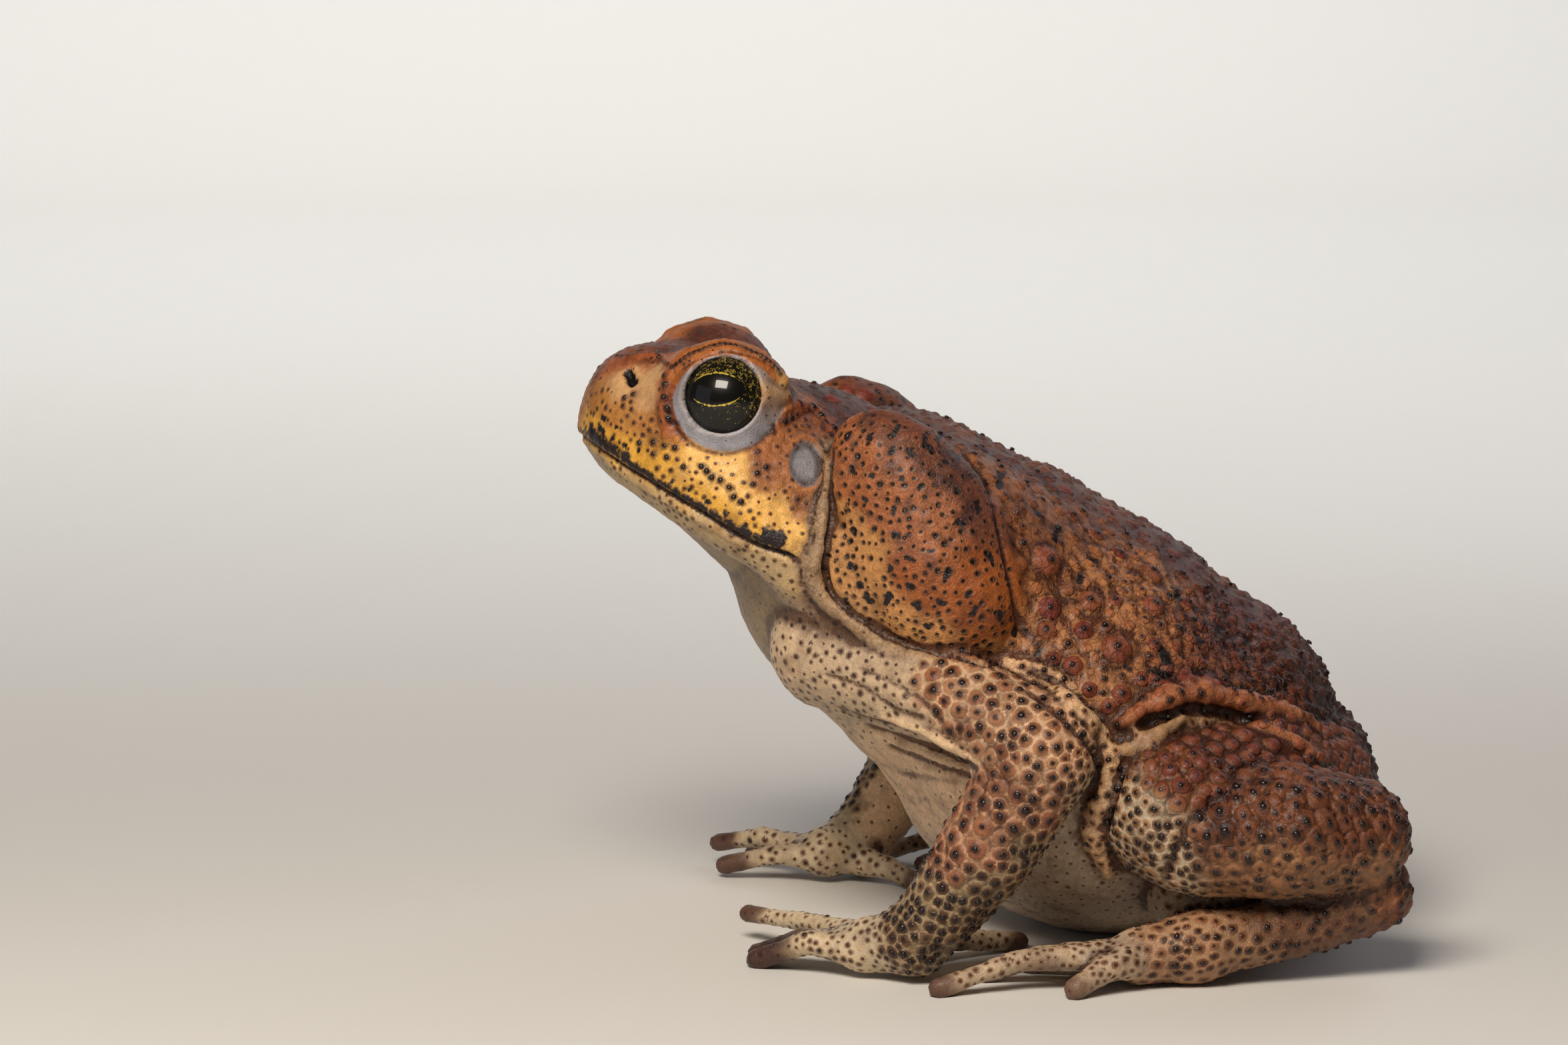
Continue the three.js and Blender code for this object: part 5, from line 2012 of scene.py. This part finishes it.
@dataclass(frozen=True)
class EyeFinish:
    """The eye under its clear cornea: a black iris flecked with gold round a slit of a pupil."""

    dark: str = "0b0906"
    gold: str = "d8bd4e"
    pupil: tuple[float, float, float, float] = (-0.8, 0.7, 4.2, 2.6)

    def build(self) -> bpy.types.Material:
        """The eye's material, which reads the place on the eye from an attribute.

        Returns:
            The material.
        """
        graph = Graph.of_material("toad eye")
        put = graph.put
        iris = put("Attribute", {}, "Vector", attribute_name="iris")
        x, _, z = put("SeparateXYZ", [iris]).node.outputs
        middle, high, along, up = self.pupil
        x = put("Math ADD", [x, -middle])
        x = put("Math DIVIDE", [x, along])
        z = put("Math ADD", [z, -high])
        z = put("Math DIVIDE", [z, up])
        flat = put("CombineXYZ", {0: x, 2: z})
        reach = put("VectorMath LENGTH", [flat], "Value")
        # Gold flecks, thickest above and behind the pupil
        flecks = put("TexVoronoi", {"Vector": iris, "Scale": 5.6}, "Distance")
        clumps = put("TexNoise", {"Vector": iris, "Scale": 1.4, "Detail": 3.0}, "Fac")
        rise = put("Math MULTIPLY_ADD", [z, 0.05, clumps])
        rear = put("Math MULTIPLY_ADD", [x, 0.05, rise])
        above = put("MapRange", {"Value": z, "From Min": 0.1, "From Max": 0.7})
        close = {"Value": reach, "From Min": 1.02, "From Max": 1.4, "To Min": 0.11, "To Max": 0.0}
        close = put("MapRange", close)
        rear = put("Math MULTIPLY_ADD", [above, close, rear])
        size = {"Value": rear, "From Min": 0.47, "From Max": 0.7, "To Min": 0.05, "To Max": 0.46}
        size = put("MapRange", size)
        fleck = put("Math LESS_THAN", [flecks, size])
        outside = put("Math GREATER_THAN", [reach, 1.06])
        speckled = put("Math MULTIPLY", [fleck, outside])
        # The thin gold rim above and below the pupil
        rim = put("Math SUBTRACT", [reach, 1.0])
        rim = put("Math ABSOLUTE", [rim])
        steep = put("Math ABSOLUTE", [z])
        thick = put("MapRange", {"Value": steep, "From Min": 0.45, "From Max": 1.0, "To Max": 0.055})
        breaks = put("TexNoise", {"Vector": iris, "Scale": 2.4, "Detail": 2.0}, "Fac")
        broken = {"Value": breaks, "From Min": 0.36, "From Max": 0.58, "To Min": 0.1, "To Max": 1.3}
        broken = put("MapRange", broken)
        thick = put("Math MULTIPLY", [thick, broken])
        ring = put("Math LESS_THAN", [rim, thick])
        gold = put("Math MAXIMUM", [speckled, ring])
        colour = put("Mix", {0: gold, 6: linear(self.dark), 7: linear(self.gold)}, 2, data_type="RGBA")
        shader = put(
            "BsdfPrincipled",
            {
                "Base Color": colour,
                "Metallic": put("Math MULTIPLY", [gold, 0.6]),
                "Roughness": 0.3,
                "Specular IOR Level": 0.1,
                "Coat Weight": 1.0,
                "Coat Roughness": 0.02,
                "Coat IOR": 1.36,
            },
        )
        put("OutputMaterial", {"Surface": shader})
        return graph.material


@dataclass(frozen=True)
class HornFinish:
    """The hard, shining black-brown tip of a wart."""

    colour: str = "1c100f"

    def build(self) -> bpy.types.Material:
        """The tips' material.

        Returns:
            The material.
        """
        graph = Graph.of_material("wart horn")
        look = {"Base Color": linear(self.colour), "Roughness": 0.29, "Specular IOR Level": 0.4}
        shader = graph.put("BsdfPrincipled", look | {"Coat Weight": 0.1, "Coat Roughness": 0.15})
        graph.put("OutputMaterial", {"Surface": shader})
        return graph.material


@dataclass(frozen=True)
class FloorFinish:
    """Plain pale paper."""

    colour: str = "d9d7d2"

    def build(self) -> bpy.types.Material:
        """The floor's material.

        Returns:
            The material.
        """
        graph = Graph.of_material("pale floor")
        shader = graph.put("BsdfPrincipled", {"Base Color": linear(self.colour), "Roughness": 0.75})
        graph.put("OutputMaterial", {"Surface": shader})
        return graph.material


@dataclass
class Eye:
    """One eyeball."""

    side: Side
    segments: int = 96
    rings: int = 60

    def build(self, finish: bpy.types.Material) -> bpy.types.Object:
        """Makes the eyeball.

        Args:
            finish: Its material.

        Returns:
            The object.
        """
        around, down = np.arange(self.segments) / self.segments * 2 * math.pi, np.arange(1, self.rings)
        tilts = (down / self.rings * math.pi)[:, None]
        band = [np.cos(around) * np.sin(tilts), np.cos(tilts) + 0 * around, np.sin(around) * np.sin(tilts)]
        band = np.stack(band, -1).reshape(-1, 3)
        local = np.concatenate([[(0, 1, 0)], band, [(0, -1, 0)]]) * EYE_RADIUS
        places = (local @ eye_axes().T + EYE_CENTRE) * [1, self.side.value, 1]
        count, last = self.segments, len(local) - 1
        ring = np.arange(count)
        after = (ring + 1) % count
        faces = [np.stack([np.zeros(count, int), 1 + after, 1 + ring], 1)]
        for row in range(self.rings - 2):
            a, b = 1 + row * count + ring, 1 + row * count + after
            faces += [np.stack([a, b, b + count], 1), np.stack([a, b + count, a + count], 1)]
        start = 1 + (self.rings - 2) * count
        faces.append(np.stack([np.full(count, last), start + ring, start + after], 1))
        triangles = np.concatenate(faces)
        if np.linalg.det(places[triangles]).sum() < 0:
            triangles = triangles[:, ::-1]
        name = "eye_left_ball" if self.side is Side.LEFT else "eye_right_ball"
        made = make_mesh(name, places, triangles)
        add_attribute(made.data, "iris", "POINT", local)
        made.data.materials.append(finish)
        return made


@dataclass
class WartTips:
    """Horny tips on the warts, set by Geometry Nodes on points."""

    least: float = 0.4
    flat: float = 0.5
    segments: int = 7
    rings: int = 4

    def tree(self, finish: bpy.types.Material) -> bpy.types.NodeTree:
        """The node group that sets a small dome on every point.

        Args:
            finish: The domes' material.

        Returns:
            The node group.
        """
        tree = bpy.data.node_groups.new("wart tips", "GeometryNodeTree")
        for name, way, kind in (
            ("Geometry", "INPUT", "Geometry"),
            ("Segments", "INPUT", "Int"),
            ("Rings", "INPUT", "Int"),
            ("Flat", "INPUT", "Float"),
            ("Geometry", "OUTPUT", "Geometry"),
        ):
            tree.interface.new_socket(name, in_out=way, socket_type="NodeSocket" + kind)
        put = Graph(tree).put
        geometry, segments, rings, flat, _ = put("NodeGroupInput").node.outputs
        dome = put("GeometryNodeMeshUVSphere", {"Segments": segments, "Rings": rings, "Radius": 1.0})
        smooth = put("GeometryNodeSetShadeSmooth", {"Geometry": dome})
        named = "GeometryNodeInputNamedAttribute"
        outward = put(named, {"Name": "outward"}, "Attribute", data_type="FLOAT_VECTOR")
        radius = put(named, {"Name": "tip_radius"}, "Attribute", data_type="FLOAT")
        turn = put("FunctionNodeAlignRotationToVector", {"Vector": outward}, axis="Z")
        low = put("Math MULTIPLY", [radius, flat])
        size = put("CombineXYZ", [radius, radius, low])
        points = put("GeometryNodeMeshToPoints", {"Mesh": geometry})
        spread = {"Points": points, "Instance": smooth, "Rotation": turn, "Scale": size}
        real = put("GeometryNodeRealizeInstances", [put("GeometryNodeInstanceOnPoints", spread)])
        dressed = put("GeometryNodeSetMaterial", {"Geometry": real, "Material": finish})
        put("NodeGroupOutput", [dressed])
        return tree

    def build(self, cells: Cells, ways: Array, finish: bpy.types.Material) -> bpy.types.Object:
        """Makes the tips.

        Args:
            cells: The skin's cells.
            ways: The outward direction and the skin's rise at each cell.
            finish: The tips' material.

        Returns:
            The object.
        """
        free = (cells.centre[:, 2] > 2.0) & (eye_distance(cells.centre) > 9.6)
        rows = np.flatnonzero((cells.tip > self.least) & (cells.height > 0.1) & free)
        centres = cells.centre[rows] + ways[rows, :3] * (ways[rows, 3:] - 0.08)
        mesh = bpy.data.meshes.new("points")
        mesh.from_pydata(metres(centres).tolist(), [], [])
        add_attribute(mesh, "outward", "POINT", ways[rows, :3])
        add_attribute(mesh, "tip_radius", "POINT", cells.tip[rows] * MM * 0.92)
        holder = add_object("points", mesh)
        modifier = holder.modifiers.new("tips", "NODES")
        modifier.node_group = self.tree(finish)
        for item in modifier.node_group.interface.items_tree:
            if item.in_out == "INPUT" and item.name in ("Segments", "Rings", "Flat"):
                modifier[item.identifier] = getattr(self, item.name.lower())
        graph = bpy.context.evaluated_depsgraph_get()
        made = add_object("wart_tips", bpy.data.meshes.new_from_object(holder.evaluated_get(graph)))
        bpy.data.objects.remove(holder)
        log.info("wart tips %d", len(rows))
        return made


@dataclass(frozen=True)
class Lamp:
    """A soft rectangular lamp: its place, aim and size in millimetres, its watts, tint and spread."""

    name: str
    place: Point
    aim: Point
    size: tuple[float, float]
    power: float
    tint: str = "ffffff"
    spread: float = 180.0

    def hang(self) -> None:
        """Adds the lamp to the scene."""
        light = bpy.data.lights.new(self.name, "AREA")
        light.shape = "RECTANGLE"
        light.size, light.size_y = self.size[0] * MM, self.size[1] * MM
        light.energy = self.power
        light.spread = math.radians(self.spread)
        light.color = linear(self.tint)[:3]
        made = add_object(self.name, light)
        made.location = metres(np.array(self.place))
        made.rotation_euler = (Vector(self.aim) - Vector(self.place)).to_track_quat("-Z", "Y").to_euler()


@dataclass
class Studio:
    """A pale sweep of paper, soft lamps and the camera."""

    lens_sensor: float = 36.0
    width: float = 5200.0
    front: float = -3200.0
    back: float = 1500.0
    bend: float = 500.0
    top: float = 2600.0
    lamps: tuple[Lamp, ...] = (
        Lamp("key", (-190, -430, 480), (-10, -20, 50), (300, 200), 4.4, "fff4e6"),
        Lamp("front fill", (-620, -260, 160), (-10, 0, 50), (500, 500), 0.3, "f4f4ff"),
        Lamp("backdrop", (0, 300, 900), (0, 900, 100), (1500, 300), 4.5, spread=105),
        Lamp("far backdrop", (0, 1000, 1300), (0, 1900, 250), (2200, 400), 11.0, spread=120),
        Lamp("front floor", (0, -600, 1200), (0, -1500, 0), (2400, 400), 7.5, spread=110),
        Lamp("rim", (420, 420, 520), (0, 0, 60), (500, 400), 0.8, "fdf6ff"),
    )

    def floor(self, finish: bpy.types.Material) -> bpy.types.Object:
        """A floor that curves up behind the toad.

        Args:
            finish: Its material.

        Returns:
            The object.
        """
        turns = np.linspace(0.1, math.pi / 2, 14)
        curve = [(self.back + self.bend * math.sin(a), self.bend - self.bend * math.cos(a)) for a in turns]
        profile = [(self.front, 0.0), (self.back, 0.0), *curve, (self.back + self.bend, self.top)]
        points = [(x * MM, y * MM, z * MM) for x in (-self.width / 2, self.width / 2) for y, z in profile]
        count = len(profile)
        faces = [(n + count, n + 1 + count, n + 1, n) for n in range(count - 1)]
        mesh = bpy.data.meshes.new("floor")
        mesh.from_pydata(points, [], faces)
        mesh.shade_smooth()
        mesh.materials.append(finish)
        return add_object("floor", mesh)

    def light(self) -> None:
        """Hangs the lamps and lights the world."""
        for lamp in self.lamps:
            lamp.hang()
        world = bpy.data.worlds.new("studio")
        world.use_nodes = True
        sky = world.node_tree.nodes["Background"].inputs
        sky["Color"].default_value = linear("e8ebf0")
        sky["Strength"].default_value = 0.08
        bpy.context.scene.world = world

    def camera(self) -> None:
        """Sets the camera at the photograph's view."""
        data = bpy.data.cameras.new("camera")
        data.sensor_width = self.lens_sensor
        data.lens = VIEW.focal * self.lens_sensor / VIEW.size[0]
        data.clip_start, data.clip_end = 0.01, 20.0
        made = add_object("camera", data)
        ahead, right, up = VIEW.axes()
        turned = Matrix([[right[n], up[n], -ahead[n]] for n in range(3)]).to_4x4()
        made.matrix_world = Matrix.Translation(metres(VIEW.place())) @ turned
        bpy.context.scene.camera = made
        bpy.context.scene.view_settings.view_transform = "Standard"


FLESH_NODES = ("head", "lower_jaw", "torso")
PAIRED_NODES = (
    "eyelid_upper", "eyelid_lower", "tympanum", "parotoid", "upper_arm", "forearm", "hand", "thigh", "shank",
    "tarsus", "foot",
)


def main() -> None:
    """Builds the toad, piece by piece, and the studio round it."""
    logging.basicConfig(level=logging.INFO, format="%(name)s: %(message)s")
    skin, cells, ways = Skin().build()
    skin.data.materials.append(SkinFinish().build())
    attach(skin, "root")
    paired = [f"{name}_{side}" for name in PAIRED_NODES for side in ("left", "right")]
    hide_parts(*FLESH_NODES, *paired)
    log.info("skin done")
    eye_finish = EyeFinish().build()
    for side, node in ((Side.LEFT, "eye_left"), (Side.RIGHT, "eye_right")):
        ball = Eye(side).build(eye_finish)
        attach(ball, "root")
        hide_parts(node)
    log.info("eyes done")
    tips = WartTips().build(cells, ways, HornFinish().build())
    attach(tips, "root")
    log.info("tips done")
    studio = Studio()
    studio.floor(FloorFinish().build())
    studio.light()
    studio.camera()


if __name__ == "__main__":
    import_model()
    main()
